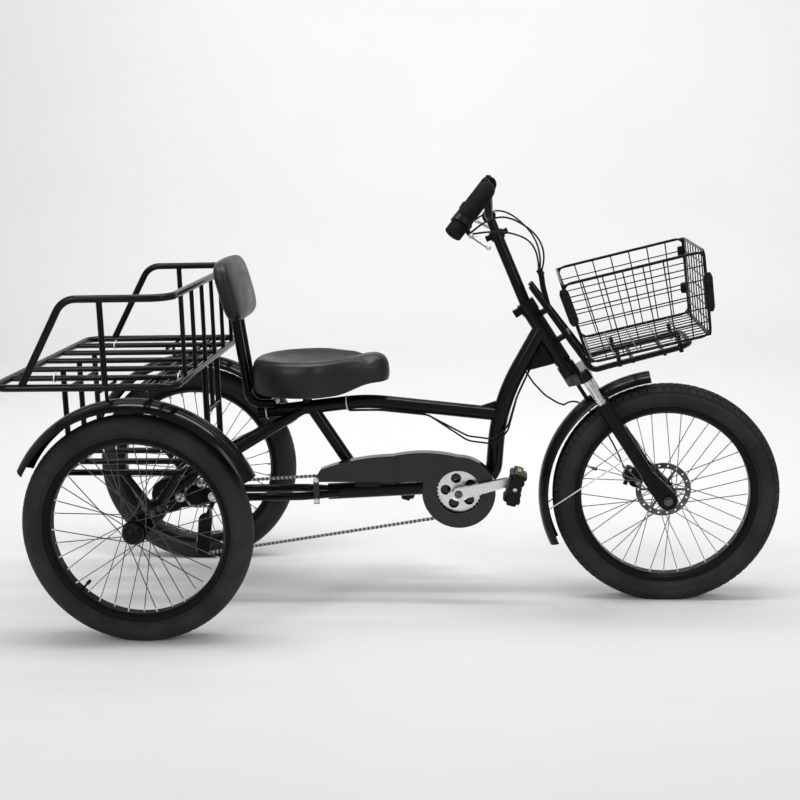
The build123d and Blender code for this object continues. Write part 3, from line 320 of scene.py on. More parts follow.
def guard_finish():
    """Gloss black mudguard; the thin stays inside its edge are white plated wire."""
    inner_edge = 0.3345
    f = Finish("front_guard_black_with_pale_stays")
    stay = f.math("LESS_THAN", f.away_from(FRONT_HUB), inner_edge)
    black = f.mottle((0.0025, 0.0025, 0.0025), (0.005, 0.005, 0.0052), 12.0, 5.0)
    pale = f.mottle((0.66, 0.66, 0.66), (0.82, 0.82, 0.82), 90.0)
    f.colour(f.mix(stay, black, pale))
    f.metal(f.mix_value(stay, 0.0, 0.6))
    painted, bare = f.spread(f.noise(40.0), 0.16, 0.30), f.spread(f.noise(60.0), 0.22, 0.34)
    f.rough(f.mix_value(stay, painted, bare))
    f.put(Specular_IOR_Level=BLACK_SHINE, Coat_Weight=0.08, Coat_Roughness=0.06)
    f.relief(f.noise(420.0, 2.0), 0.05, 0.0005)
    return f.material


def lever_finish():
    """Black clamp bands on the grips, bright blades below them."""
    below_grip, grip_middle = Vector((0.577, 0, -0.817)), Vector((0.1832, 0, 1.1308))
    f = Finish("lever_black_and_bright")
    blade = f.math("GREATER_THAN", f.along(below_grip, grip_middle), 0.036)
    black = f.mottle((0.003, 0.003, 0.003), (0.006, 0.006, 0.006), 20.0)
    f.put(Specular_IOR_Level=BLACK_SHINE)
    bright = f.mottle((0.50, 0.50, 0.51), (0.72, 0.72, 0.73), 90.0)
    f.colour(f.mix(blade, black, bright))
    f.metal(f.mix_value(blade, 0.0, 1.0))
    f.rough(f.spread(f.noise(50.0), 0.24, 0.40))
    f.relief(f.noise(600.0, 2.0), 0.05, 0.0004)
    return f.material


def tinted(name, tone, pale, low, high, scale=500.0):
    """A coloured plastic with slightly uneven tone and a fine moulded texture."""
    f = Finish(name)
    f.colour(f.mottle(tone, pale, 60.0, 4.0))
    f.rough(f.spread(f.noise(80.0), low, high))
    f.relief(f.cells(scale), 0.25, 0.0005)
    return f.material


def chain_finish():
    """Oiled steel with a lighter roller at every link."""
    f = Finish("oiled_chain_steel")
    run = f.along(Vector((1, 0, 0.17)), Vector((0, 0, 0)))
    wave = f.math("SINE", f.math("MULTIPLY", run, 2 * math.pi / CHAIN_PITCH))
    link = f.spread(wave, 0.0, 1.0, -0.25, 0.35)
    f.colour(f.mix(link, (0.075, 0.070, 0.064), (0.46, 0.45, 0.42)))
    f.metal(f.mix_value(link, 0.3, 0.9))
    f.rough(f.spread(f.noise(90.0, 4.0), 0.30, 0.48))
    f.relief(wave, 0.5, 0.0012)
    return f.material


PAINT = gloss_black()
SATIN = satin_black()
LEATHER = grained_leather()
FOAM = foam_sleeve()
WIRE = gloss_black("black_coated_wire", 0.0022, 0.24)
PLASTIC = black_plastic()
COVER = black_plastic("gloss_black_cover", 0.0055, 0.10, 0.18, 400.0, 0.02, 0.42)
CABLE = black_plastic("black_cable_sheath", 0.0035, 0.26, 0.40, 1600.0)
STEEL = bright_metal("zinc_plated_steel", (0.48, 0.48, 0.49), 0.26, 0.44)
DARK_STEEL = bright_metal("dulled_steel", (0.13, 0.13, 0.135), 0.30, 0.46)
SILVER = bright_metal("polished_silver_metal", (0.90, 0.90, 0.91), 0.20, 0.34)
NIPPLE = tinted("pale_plated_nipple", (0.66, 0.66, 0.66), (0.86, 0.86, 0.86), 0.22, 0.36)
AMBER = tinted("amber_reflector", (0.26, 0.12, 0.008), (0.40, 0.20, 0.015), 0.18, 0.32, 380.0)
WHITE = tinted("white_nylon_tie", (0.70, 0.70, 0.69), (0.84, 0.84, 0.83), 0.30, 0.45, 700.0)
RUBBER = {place: tyre_rubber(f"tyre_rubber_{place}", hub) for place, hub in HUBS.items()}

NODE_FINISH = {
    "front_wheel": wheel_finish("front_wheel_black_and_steel", FRONT_HUB, 0.031, 0.16),
    "wheel_right": wheel_finish("rear_wheel_right_black_and_steel", RIGHT_HUB, 0.035, 0.10),
    "wheel_left": wheel_finish("rear_wheel_left_black_and_steel", LEFT_HUB, 0.035, 0.10),
    "fork_legs": fork_finish(),
    "front_fender": guard_finish(),
    "front_axle": STEEL, "shaft_right": STEEL, "shaft_left": STEEL,
    "brake_rotor": DARK_STEEL, "brake_caliper": SATIN, "brake_levers": lever_finish(),
    "chain": chain_finish(), "rear_gears": SATIN, "crankset": SILVER, "drive_unit": SATIN,
    "pedal_right": PLASTIC, "pedal_left": PLASTIC, "chain_cover": COVER,
    "grips": FOAM, "saddle": LEATHER, "backrest": LEATHER,
    "basket_sides": WIRE, "basket_ends": WIRE, "basket_floor": WIRE, "basket_hinges": PLASTIC,
    "bar_cables": CABLE, "frame_cables": CABLE,
    "front_tyre": RUBBER["front"], "tyre_right": RUBBER["right"], "tyre_left": RUBBER["left"],
}

for name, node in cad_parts.items():
    node.data.materials.clear()
    node.data.materials.append(NODE_FINISH.get(name, PAINT))

# Modelling helpers, for pieces that start from a primitive and are shaped in edit mode


def clear_selection():
    if bpy.context.object and bpy.context.object.mode == "EDIT":
        bpy.ops.object.mode_set(mode="OBJECT")
    bpy.ops.object.select_all(action="DESELECT")


def begin(name):
    """Names the primitive just added and opens it for editing, with nothing selected."""
    piece = bpy.context.object
    piece.name = name
    bpy.ops.object.transform_apply(location=True, rotation=True, scale=True)
    bpy.ops.object.mode_set(mode="EDIT")
    bpy.ops.mesh.select_all(action="DESELECT")
    return piece


def pick_faces(piece, wanted):
    """Selects the faces for which wanted(centre, normal) holds."""
    bpy.ops.mesh.select_mode(type="FACE")
    bpy.ops.mesh.select_all(action="DESELECT")
    mesh = bmesh.from_edit_mesh(piece.data)
    for face in mesh.faces:
        face.select_set(bool(wanted(face.calc_center_median(), face.normal)))
    mesh.select_flush_mode()
    bmesh.update_edit_mesh(piece.data)


def upward(centre, normal):
    """Picks the face on top."""
    return normal.z > 0.9


def pick_verts(piece, wanted):
    """Selects the points for which wanted(place) holds."""
    bpy.ops.mesh.select_mode(type="VERT")
    bpy.ops.mesh.select_all(action="DESELECT")
    mesh = bmesh.from_edit_mesh(piece.data)
    for vert in mesh.verts:
        vert.select_set(bool(wanted(vert.co)))
    mesh.select_flush_mode()
    bmesh.update_edit_mesh(piece.data)


def grow(steps):
    """Draws the picked face up in steps, each with its share of the width and its rise."""
    for wide, tall in steps:
        bpy.ops.mesh.extrude_region_move(TRANSFORM_OT_translate={"value": (0, 0, tall)})
        bpy.ops.transform.resize(value=(wide, wide, 1))


def reshape(piece, move):
    """Moves each point of a piece to where move(point) says."""
    for vert in piece.data.vertices:
        vert.co = move(vert.co.copy())
    piece.data.update()


def finish_piece(piece, body, material, smooth=40.0):
    """Welds and smooths the piece and lets it ride on its body; a bent piece has none."""
    weld = 0.00001
    clear_selection()
    piece.select_set(True)
    bpy.context.view_layer.objects.active = piece
    bpy.ops.object.transform_apply(location=True, rotation=True, scale=True)
    bpy.ops.object.mode_set(mode="EDIT")
    bpy.ops.mesh.select_all(action="SELECT")
    bpy.ops.mesh.remove_doubles(threshold=weld)
    bpy.ops.mesh.normals_make_consistent(inside=False)
    bpy.ops.object.mode_set(mode="OBJECT")
    bpy.ops.object.shade_smooth_by_angle(angle=math.radians(smooth))
    piece.data.materials.clear()
    piece.data.materials.append(material)
    if body:
        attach(piece, body)
    return piece


def use(piece, kind, **settings):
    """Adds a modifier, sets it and applies it."""
    made = piece.modifiers.new(kind.title(), kind)
    for key, value in settings.items():
        setattr(made, key, value)
    clear_selection()
    piece.select_set(True)
    bpy.context.view_layer.objects.active = piece
    bpy.ops.object.modifier_apply(modifier=made.name)


def gather(name, pieces):
    """Joins copies into one named piece."""
    clear_selection()
    for piece in pieces:
        piece.select_set(True)
    bpy.context.view_layer.objects.active = pieces[0]
    if len(pieces) > 1:
        bpy.ops.object.join()
    joined = bpy.context.object
    joined.name = name
    return joined


def copy_to(piece, matrix):
    """A copy with its own mesh, moved in its mesh."""
    twin = bpy.data.objects.new("copy", piece.data.copy())
    bpy.context.collection.objects.link(twin)
    twin.data.transform(matrix)
    return twin


def discard(piece):
    bpy.data.objects.remove(piece, do_unlink=True)


def turned_to(place, axis):
    """The matrix that stands a piece made along +Z on a place, pointing along an axis."""
    return Matrix.Translation(place) @ Vector(axis).to_track_quat("Z", "Y").to_matrix().to_4x4()


# Saddle and backrest


def smooth_step(share):
    """Eases from 0 to 1 with no corner at either end."""
    share = max(0.0, min(1.0, share))
    return share * share * (3 - 2 * share)


def saddle_pad():
    """A wide saddle: a tall side wall, a rolled rim round a dish, a nose between two grooves."""
    middle, half_long, half_wide = -0.2415, 0.1975, 0.150
    underside, rim_crease = 0.6385, 0.7120
    clear_selection()
    bpy.ops.mesh.primitive_cylinder_add(vertices=96, radius=1.0, depth=1.0, location=(0, 0, 0.5))
    pad = begin("saddle_pad")
    for step in (0.025, 0.035, 0.06, 0.08, 0.10, 0.14, 0.18, 0.18):
        pick_faces(pad, lambda c, n: n.z > 0.9 and c.xy.length < 0.01)
        bpy.ops.mesh.inset(thickness=step, depth=0.0)
    pick_faces(pad, lambda c, n: n.z < -0.9)
    bpy.ops.mesh.inset(thickness=0.04, depth=0.0)
    bpy.ops.mesh.inset(thickness=0.40, depth=0.0)
    for height in (0.08, 0.5, 0.92):
        bpy.ops.mesh.select_all(action="SELECT")
        bpy.ops.mesh.bisect(plane_co=(0, 0, height), plane_no=(0, 0, 1))
    bpy.ops.object.mode_set(mode="OBJECT")

    def shape(p):
        reach = min(p.xy.length, 1.0)
        along = math.cos(math.atan2(p.y, p.x))
        half = half_wide - 0.072 * smooth_step((along + 0.10) / 0.75)
        half *= math.sqrt(max(0.0, 1 - abs(along) ** 2.6))
        x, y = middle + reach * half_long * along, reach * math.copysign(half, p.y)
        front = smooth_step((x + 0.21) / 0.14)
        low = underside + 0.026 * smooth_step((x + 0.185) / 0.105)
        crease = rim_crease + 0.004 * front
        if p.z > 0.99:
            roll = 0.030 * math.sqrt(max(0.0, 1 - max(0.0, (reach - 0.80) / 0.20) ** 2))
            dish = 0.024 * (1 - 0.8 * front) * max(0.0, 1 - (reach / 0.82) ** 2) ** 0.8
            groove = 0.015 * math.exp(-((abs(y) - 0.046) / 0.014) ** 2)
            groove *= math.exp(-((x + 0.110) / 0.040) ** 2)
            z = crease + roll - dish - groove
        elif p.z < 0.01:
            x, y = middle + (x - middle) * 0.97, y * 0.97
            z = low + 0.006 * (1 - reach)
        else:
            z = low + (crease - low) * p.z
            bulge = 1.0 + 0.018 * math.sin(math.pi * p.z)
            x, y = middle + (x - middle) * bulge, y * bulge
        return Vector((x, y, z))

    reshape(pad, shape)
    use(pad, "SUBSURF", levels=2, render_levels=2)
    finish_piece(pad, "frame", LEATHER, 70)
    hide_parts("saddle")


def backrest_pad():
    """A crowned back pad, fuller at its middle and pulled in at its rounded edge."""
    half_thick, half_wide, half_tall = 0.027, 0.144, 0.090
    low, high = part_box("backrest")
    centre = (low + high) / 2
    lean = Matrix.Translation(centre) @ Matrix.Rotation(math.radians(-14), 4, "Y")
    clear_selection()
    bpy.ops.mesh.primitive_cube_add(size=1.0)
    pad = begin("backrest_pad")
    bpy.ops.mesh.select_all(action="SELECT")
    bpy.ops.mesh.subdivide(number_cuts=9)
    bpy.ops.object.mode_set(mode="OBJECT")

    def shape(p):
        q = p * 2
        most = max(abs(q.x), abs(q.y), abs(q.z), 1e-6)
        q *= most / (abs(q.x) ** 4 + abs(q.y) ** 4 + abs(q.z) ** 4) ** 0.25
        crown = 0.006 * (1 - q.y ** 2) * (1 - q.z ** 2) if q.x > 0 else 0.0
        return lean @ Vector((half_thick * q.x + crown, half_wide * q.y, half_tall * q.z))

    reshape(pad, shape)
    use(pad, "SUBSURF", levels=2, render_levels=2)
    finish_piece(pad, "frame", LEATHER, 70)
    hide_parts("backrest")


saddle_pad()
backrest_pad()

# Tyres


def tyre_wall(place):
    """One tyre: a carcass spun from its side profile, with ridges, and tread blocks on it."""
    # Radius and half width of the carcass, from the bead to the crown
    profile = [
        (0.2523, 0.0207), (0.2593, 0.0207), (0.2612, 0.0262), (0.2640, 0.0268), (0.2660, 0.0300),
        (0.2720, 0.0338), (0.2735, 0.0352), (0.2755, 0.0348), (0.2830, 0.0376), (0.2900, 0.0379),
        (0.2920, 0.0384), (0.2940, 0.0378), (0.3010, 0.0350), (0.3075, 0.0312), (0.3110, 0.0280),
        (0.3165, 0.0200), (0.3195, 0.0100), (0.3203, 0.0),
    ]
    clear_selection()
    bpy.ops.mesh.primitive_plane_add(size=0.01)
    wall = begin(f"tyre_body_{place}")
    bpy.ops.mesh.select_mode(type="VERT")
    bpy.ops.mesh.select_all(action="SELECT")
    bpy.ops.mesh.merge(type="CENTER")
    points = profile + [(r, -y) for r, y in reversed(profile[:-1])]
    mesh = bmesh.from_edit_mesh(wall.data)
    mesh.verts.ensure_lookup_table()
    mesh.verts[0].co = Vector((points[0][0], points[0][1], 0))
    bmesh.update_edit_mesh(wall.data)
    bpy.ops.mesh.select_all(action="SELECT")
    for last, point in zip(points, points[1:]):
        step = (point[0] - last[0], point[1] - last[1], 0)
        bpy.ops.mesh.extrude_region_move(TRANSFORM_OT_translate={"value": step})
    bpy.ops.mesh.select_all(action="SELECT")
    bpy.ops.mesh.edge_face_add()
    bpy.ops.mesh.delete(type="ONLY_FACE")
    bpy.ops.mesh.select_all(action="SELECT")
    bpy.ops.mesh.spin(steps=120, angle=2 * math.pi, center=(0, 0, 0), axis=(0, 1, 0))
    bpy.ops.mesh.select_all(action="SELECT")
    bpy.ops.mesh.remove_doubles(threshold=0.0001)
    bpy.ops.object.mode_set(mode="OBJECT")
    blocks = [wall]
    # Rows of blocks: radius, side, half width, half length, lean in degrees, share of a step turned.
    # The rear tyres are smoother: their blocks sit lower, and they have no shoulder row.
    sunk = 0.0 if place == "front" else 0.0030
    rows = [(0.3205, 0.0, 0.0066, 0.0100, 0.0, 0.0)]
    for side in (-1, 1):
        rows.append((0.3187, side * 0.0142, 0.0060, 0.0096, side * 20.0, 0.5))
        if place == "front":
            rows.append((0.3108, side * 0.0282, 0.0082, 0.0104, side * 54.0, 0.0))
    count, block_height = 84, 0.0058
    for number, (r, y, wide, long, lean, phase) in enumerate(rows):
        clear_selection()
        bpy.ops.mesh.primitive_cube_add(size=1.0)
        block = begin(f"tread_{place}_{number}")
        pick_faces(block, lambda c, n: n.x > 0.9)
        bpy.ops.transform.resize(value=(1, 0.90, 0.92))
        bpy.ops.mesh.inset(thickness=0.12, depth=0.0)
        bpy.ops.object.mode_set(mode="OBJECT")
        size = Matrix.Diagonal((block_height, 2 * wide, 2 * long, 1))
        turn = Matrix.Rotation(phase * 2 * math.pi / count, 4, "Y")
        tilt = Matrix.Rotation(math.radians(lean), 4, "Z")
        block.data.transform(turn @ Matrix.Translation((r - sunk, y, 0)) @ tilt @ size)
        bpy.ops.object.mode_set(mode="EDIT")
        bpy.ops.mesh.select_all(action="SELECT")
        bpy.ops.mesh.spin(steps=count, dupli=True, angle=2 * math.pi, center=(0, 0, 0), axis=(0, 1, 0))
        bpy.ops.object.mode_set(mode="OBJECT")
        blocks.append(block)
    tyre = gather(f"tyre_with_tread_{place}", blocks)
    tyre.data.transform(Matrix.Translation(HUBS[place]))
    finish_piece(tyre, wheel_body(place), RUBBER[place], 32)
    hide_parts("front_tyre" if place == "front" else f"tyre_{place}")


for place in HUBS:
    tyre_wall(place)

# Small fittings: nipples, valves, bolts, ties


def spoke_line(number, flange_r):
    """A spoke's two ends about the hub, as laced in two layers on each flange."""
    side = 1 if number % 2 else -1
    lean = 1 if number // 2 % 2 else -1
    turn = 2 * math.pi * number / SPOKES
    start = turn + lean * math.radians(62)
    hub_y = side * (0.0315 + lean * 0.0025)
    middle = Vector((0, 0, 0))
    return round_axle(middle, flange_r, start, hub_y), round_axle(middle, 0.246, turn, side * 0.005)


def nipple_master():
    """One spoke nipple with its stepped end."""
    clear_selection()
    bpy.ops.mesh.primitive_cylinder_add(vertices=8, radius=0.0024, depth=0.012)
    nipple = begin("nipple")
    pick_faces(nipple, upward)
    bpy.ops.mesh.inset(thickness=0.0007, depth=0.0)
    bpy.ops.mesh.extrude_region_move(TRANSFORM_OT_translate={"value": (0, 0, 0.002)})
    bpy.ops.transform.resize(value=(0.7, 0.7, 1))
    bpy.ops.object.mode_set(mode="OBJECT")
    return nipple


def nipples():
    """A nipple on the rim end of every spoke."""
    master = nipple_master()
    for place, hub in HUBS.items():
        flange_r = 0.028 if place == "front" else 0.032
        copies = []
        for number in range(SPOKES):
            first, last = spoke_line(number, flange_r)
            inward = (first - last).normalized()
            copies.append(copy_to(master, turned_to(hub + last + inward * 0.010, inward)))
        piece = gather(f"spoke_nipples_{place}", copies)
        finish_piece(piece, wheel_body(place), NIPPLE)
    discard(master)


def valves():
    """A capped valve on the inside of each rim."""
    for place, hub in HUBS.items():
        turn = math.radians(160 if place == "front" else 226)
        inward = -Vector((math.cos(turn), 0, math.sin(turn)))
        clear_selection()
        bpy.ops.mesh.primitive_cylinder_add(vertices=14, radius=0.0042, depth=0.010)
        stem = begin(f"valve_{place}")
        pick_faces(stem, upward)
        grow(((0.75, 0.0), (1.0, 0.016), (1.5, 0.0), (1.0, 0.012), (0.7, 0.002)))
        bpy.ops.object.mode_set(mode="OBJECT")
        stem.data.transform(turned_to(hub - inward * 0.242, inward))
        finish_piece(stem, wheel_body(place), PLASTIC)


def bolt_master(radius):
    """A hexagon bolt head with a chamfer on a round washer, standing on +Z."""
    clear_selection()
    bpy.ops.mesh.primitive_cylinder_add(vertices=24, radius=radius * 1.35, depth=0.0016,
                                        location=(0, 0, 0.0006))
    washer = begin("washer")
    pick_faces(washer, upward)
    bpy.ops.mesh.inset(thickness=radius * 0.08, depth=0.0)
    bpy.ops.object.mode_set(mode="OBJECT")
    clear_selection()
    bpy.ops.mesh.primitive_cylinder_add(vertices=6, radius=radius, depth=radius * 0.9,
                                        location=(0, 0, radius * 0.5))
    head = begin("head")
    pick_faces(head, upward)
    bpy.ops.mesh.inset(thickness=radius * 0.14, depth=radius * 0.10)
    bpy.ops.mesh.inset(thickness=radius * 0.20, depth=-radius * 0.06)
    bpy.ops.object.mode_set(mode="OBJECT")
    return gather("bolt", [washer, head])


def bolts(name, radius, places, body, material):
    """The same bolt at each place, standing along the axis given with it."""
    master = bolt_master(radius)
    copies = [copy_to(master, turned_to(Vector(place), axis)) for place, axis in places]
    discard(master)
    finish_piece(gather(name, copies), body, material, 30)


def tie_master():
    """The flat band of a nylon tie, of unit size."""
    clear_selection()
    bpy.ops.mesh.primitive_cylinder_add(vertices=32, radius=1.0, depth=1.0, end_fill_type="NOTHING")
    band = begin("tie_band")
    bpy.ops.object.mode_set(mode="OBJECT")
    return band


def ties(name, places, body):
    """Nylon ties, each a band with its lock box and cut tail, round a tube's place, axis and radius."""
    copies = []
    for place, axis, radius in places:
        band = tie_master()
        band.data.transform(Matrix.Diagonal((radius, radius, 0.0032, 1)))
        use(band, "SOLIDIFY", thickness=0.0013, offset=1.0)
        clear_selection()
        bpy.ops.mesh.primitive_cube_add(size=1.0)
        lock = begin("tie_lock")
        pick_faces(lock, lambda c, n: n.x > 0.9)
        bpy.ops.mesh.inset(thickness=0.2, depth=-0.15)
        pick_faces(lock, lambda c, n: n.y > 0.9)
        bpy.ops.mesh.inset(thickness=0.28, depth=0.0)
        bpy.ops.mesh.extrude_region_move(TRANSFORM_OT_translate={"value": (0.1, 2.2, 0)})
        bpy.ops.object.mode_set(mode="OBJECT")
        size = Matrix.Diagonal((0.005, 0.006, 0.0065, 1))
        lock.data.transform(Matrix.Translation((radius + 0.002, 0, 0)) @ size)
        both = gather("tie", [band, lock])
        both.data.transform(turned_to(Vector(place), axis))
        copies.append(both)
    finish_piece(gather(name, copies), body, WHITE, 35)


nipples()
valves()

bolts("gear_plate_bolts", 0.0105,
      [((x, -0.0653, z), SIDE) for x, z in ((-0.664, 0.330), (-0.599, 0.372), (-0.566, 0.332))],
      "frame", SILVER)
bolts("bearing_bolts", 0.007,
      [(round_axle(RIGHT_HUB, 0.025, turn, side * 0.2062), (0, side, 0))
       for side in (-1, 1) for turn in (0.6, 2.5, 4.7)], "frame", DARK_STEEL)
bolts("chainring_bolts", 0.0045,
      [(round_axle(CRANK, 0.0155, turn, -0.0832), SIDE) for turn in (0.4, 1.66, 2.91, 4.17, 5.43)],
      "crank", STEEL)
bolts("crank_bolts", 0.0085,
      [((CRANK.x, side * 0.1131, CRANK.z), (0, side, 0)) for side in (-1, 1)],
      "crank", DARK_STEEL)
bolts("front_axle_nuts", 0.0095,
      [((FRONT_HUB.x, side * 0.0882, FRONT_HUB.z), (0, side, 0)) for side in (-1, 1)],
      "steering", DARK_STEEL)
bolts("cover_screws", 0.0055, [((-0.254, -0.0952, 0.390), SIDE), ((-0.254, -0.0952, 0.328), SIDE)],
      "frame", SILVER)
ties("white_ties",
     [((x, y, 0.729), LONG, 0.0092) for x in (-0.936, -0.590) for y in (-0.2733, 0.2733)]
     + [((-0.405, 0.0, 0.5718), UPPER_TUBE, 0.0208), ((-0.168, 0.0, 0.5968), UPPER_TUBE, 0.0208)],
     "frame")

# Fittings of the pedals, brake and basket, and the cables


def pedal_place(side):
    """A pedal's middle, tilted as the pedal is."""
    low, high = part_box(f"pedal_{side}")
    return Matrix.Translation((low + high) / 2) @ Matrix.Rotation(PEDAL_TILT, 4, "Y")



def pedal_reflectors():
    """A faceted amber reflector let into each end of both pedals."""
    for side in ("right", "left"):
        tilt = pedal_place(side)
        plates = []
        for end in (-1, 1):
            clear_selection()
            bpy.ops.mesh.primitive_cube_add(size=1.0)
            plate = begin(f"reflector_{side}")
            pick_faces(plate, upward)
            bpy.ops.mesh.inset(thickness=0.10, depth=0.12)
            bpy.ops.mesh.subdivide(number_cuts=2)
            bpy.ops.object.mode_set(mode="OBJECT")
            flip = Matrix.Rotation(0.0 if end > 0 else math.pi, 4, "X")
            size = Matrix.Diagonal((0.010, 0.034, 0.004, 1))
            plate.data.transform(tilt @ flip @ Matrix.Translation((0, 0, 0.0462)) @ size)
            plates.append(plate)
        piece = gather(f"pedal_reflectors_{side}", plates)
        finish_piece(piece, f"pedal_{side}", AMBER, 20)


def pedal_treads():
    """Rubber bars across both faces of each pedal, rounded over, higher toward its ends."""
    for side in ("right", "left"):
        tilt = pedal_place(side)
        bars = []
        for face in (-1, 1):
            for number in range(5):
                clear_selection()
                bpy.ops.mesh.primitive_cube_add(size=1.0)
                bar = begin("pedal_bar")
                pick_faces(bar, lambda c, n: n.x * face > 0.9)
                bpy.ops.mesh.inset(thickness=0.18, depth=0.3)
                bpy.ops.object.mode_set(mode="OBJECT")
                height = (number - 2) * 0.0176
                rise = 0.0035 + 0.0016 * abs(number - 2)
                size = Matrix.Diagonal((2 * rise, 0.078, 0.010, 1))
                bar.data.transform(tilt @ Matrix.Translation((face * 0.0138, 0, height)) @ size)
                use(bar, "BEVEL", width=0.0012, segments=2, limit_method="ANGLE")
                bars.append(bar)
        piece = gather(f"pedal_treads_{side}", bars)
        finish_piece(piece, f"pedal_{side}", PLASTIC, 35)


def caliper_fittings():
    """The brake's round actuator, its arm and cable barrel, and the two bolts that hold the caliper."""
    low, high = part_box("brake_caliper")
    centre = (low + high) / 2
    pieces = []
    for place, radius, depth in ((centre + Vector((0.004, 0.010, -0.016)), 0.017, 0.024),
                                 (centre + Vector((0.004, -0.006, -0.016)), 0.013, 0.030),
                                 (centre + Vector((-0.020, 0.012, 0.010)), 0.006, 0.018)):
        clear_selection()
        bpy.ops.mesh.primitive_cylinder_add(vertices=28, radius=radius, depth=depth,
                                            rotation=(math.pi / 2, 0, 0))
        drum = begin("actuator")
        for facing in (-1, 1):
            pick_faces(drum, lambda c, n: n.y * facing > 0.9)
            bpy.ops.mesh.inset(thickness=radius * 0.18, depth=0.0)
            bpy.ops.mesh.inset(thickness=radius * 0.12, depth=-0.0025)
        bpy.ops.object.mode_set(mode="OBJECT")
        drum.data.transform(Matrix.Translation(place))
        pieces.append(drum)
    clear_selection()
    bpy.ops.mesh.primitive_cube_add(size=1.0)
    arm = begin("actuator_arm")
    pick_faces(arm, upward)
    bpy.ops.transform.resize(value=(0.5, 1, 1))
    bpy.ops.mesh.extrude_region_move(TRANSFORM_OT_translate={"value": (-0.4, 0, 0.35)})
    bpy.ops.object.mode_set(mode="OBJECT")
    size = Matrix.Diagonal((0.014, 0.004, 0.034, 1))
    arm.data.transform(Matrix.Translation(centre + Vector((-0.012, 0.016, -0.002))) @ size)
    use(arm, "BEVEL", width=0.001, segments=2, limit_method="ANGLE")
    pieces.append(arm)
    finish_piece(gather("caliper_fittings", pieces), "steering", SATIN, 35)
    places = (Vector((0.012, -0.0212, -0.016)), Vector((-0.010, -0.014, 0.022)))
    bolts("caliper_bolts", 0.005, [(centre + place, SIDE) for place in places],
          "steering", STEEL)


def basket_plates():
    """The ribbed folding plates at the basket's right corners and the two small catches on its left."""
    # Place in the basket, width, height and slant in degrees
    plates = [(-0.021, -0.2165, 0.160, 0.026, 0.104, -7), (0.343, -0.2165, 0.114, 0.024, 0.104, 7),
              (0.327, 0.2165, 0.076, 0.022, 0.032, 7), (0.340, 0.2165, 0.183, 0.022, 0.032, 7)]
    copies = []
    for x, y, z, wide, tall, slant in plates:
        clear_selection()
        bpy.ops.mesh.primitive_cube_add(size=1.0)
        leaf = begin("basket_plate")
        facing = -1 if y < 0 else 1
        for height in (0.12, 0.38, 0.62, 0.88):
            bpy.ops.mesh.select_all(action="SELECT")
            bpy.ops.mesh.bisect(plane_co=(0, 0, height - 0.5), plane_no=(0, 0, 1))
        pick_faces(leaf, lambda c, n: n.y * facing > 0.9 and abs(abs(c.z) - 0.25) < 0.06)
        bpy.ops.mesh.inset(thickness=0.08, depth=0.0, use_individual=True)
        bpy.ops.mesh.extrude_region_move(TRANSFORM_OT_translate={"value": (0, facing * 0.35, 0)})
        pick_verts(leaf, lambda p: abs(p.z) > 0.45)
        bpy.ops.transform.resize(value=(0.6, 1, 1))
        bpy.ops.object.mode_set(mode="OBJECT")
        turn = Matrix.Rotation(math.radians(slant), 4, "Y")
        size = Matrix.Diagonal((wide, 0.007, tall, 1))
        leaf.data.transform(BASKET @ Matrix.Translation((x, y, z)) @ turn @ size)
        use(leaf, "BEVEL", width=0.002, segments=2, limit_method="ANGLE")
        copies.append(leaf)
    piece = finish_piece(gather("basket_plates", copies), "frame", PLASTIC, 40)
    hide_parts("basket_hinges")


def cord(name, points, radius):
    """A smooth cord along a row of guide points."""
    clear_selection()
    bpy.ops.curve.primitive_nurbs_path_add()
    path = bpy.context.object
    line = path.data.splines[0]
    line.points.add(max(0, len(points) - len(line.points)))
    for knot, place in zip(line.points, points):
        knot.co = (*place, 1.0)
    line.order_u, line.resolution_u, line.use_endpoint_u = 4, 14, True
    path.data.bevel_depth, path.data.bevel_resolution = radius, 3
    path.data.use_fill_caps = True
    bpy.ops.object.convert(target="MESH")
    made = bpy.context.object
    made.name = name
    return made


def bent_cables():
    """The lever cables and the front brake's cable, which bend between steering and frame."""
    lever = Vector((0.2012, 0.2727, 1.0998))
    meet = on_head(0.082, 0.0, 0.738)
    # Side, rise of the first bend, height of the second, and how far ahead the cable runs down
    bends = ((-1, 0.052, 0.036, 0.010), (1, 0.046, 0.022, -0.004), (-1, 0.006, -0.006, -0.014))
    routes = []
    for side, rise, drop, ahead in bends:
        x, y, z = lever.x, side * lever.y, lever.z
        end = meet + Vector((ahead * 0.3, side * 0.005, 0))
        routes.append([(x, y, z), (x + 0.062, y - side * 0.056, z + rise),
                       (x + 0.130, y - side * 0.130, z + drop),
                       (end.x + ahead + 0.014, side * 0.016, end.z + 0.075), tuple(end)])
    cables = gather("lever_cables", [cord("lever_cable", route, CABLE_R) for route in routes])
    finish_piece(cables, None, CABLE, 45)
    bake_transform(cables)
    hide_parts("bar_cables")
    steps = [(-0.022, 0.060, 0.108), (-0.008, 0.080, 0.175), (-0.006, 0.076, 0.300),
             (-0.030, 0.044, 0.372), (-0.066, 0.006, 0.3755)]
    brake = cord("fork_brake_cable", [tuple(on_head(*step)) for step in steps], CABLE_R)
    finish_piece(brake, None, CABLE, 45)
    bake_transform(brake)
    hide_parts("bar_cables")


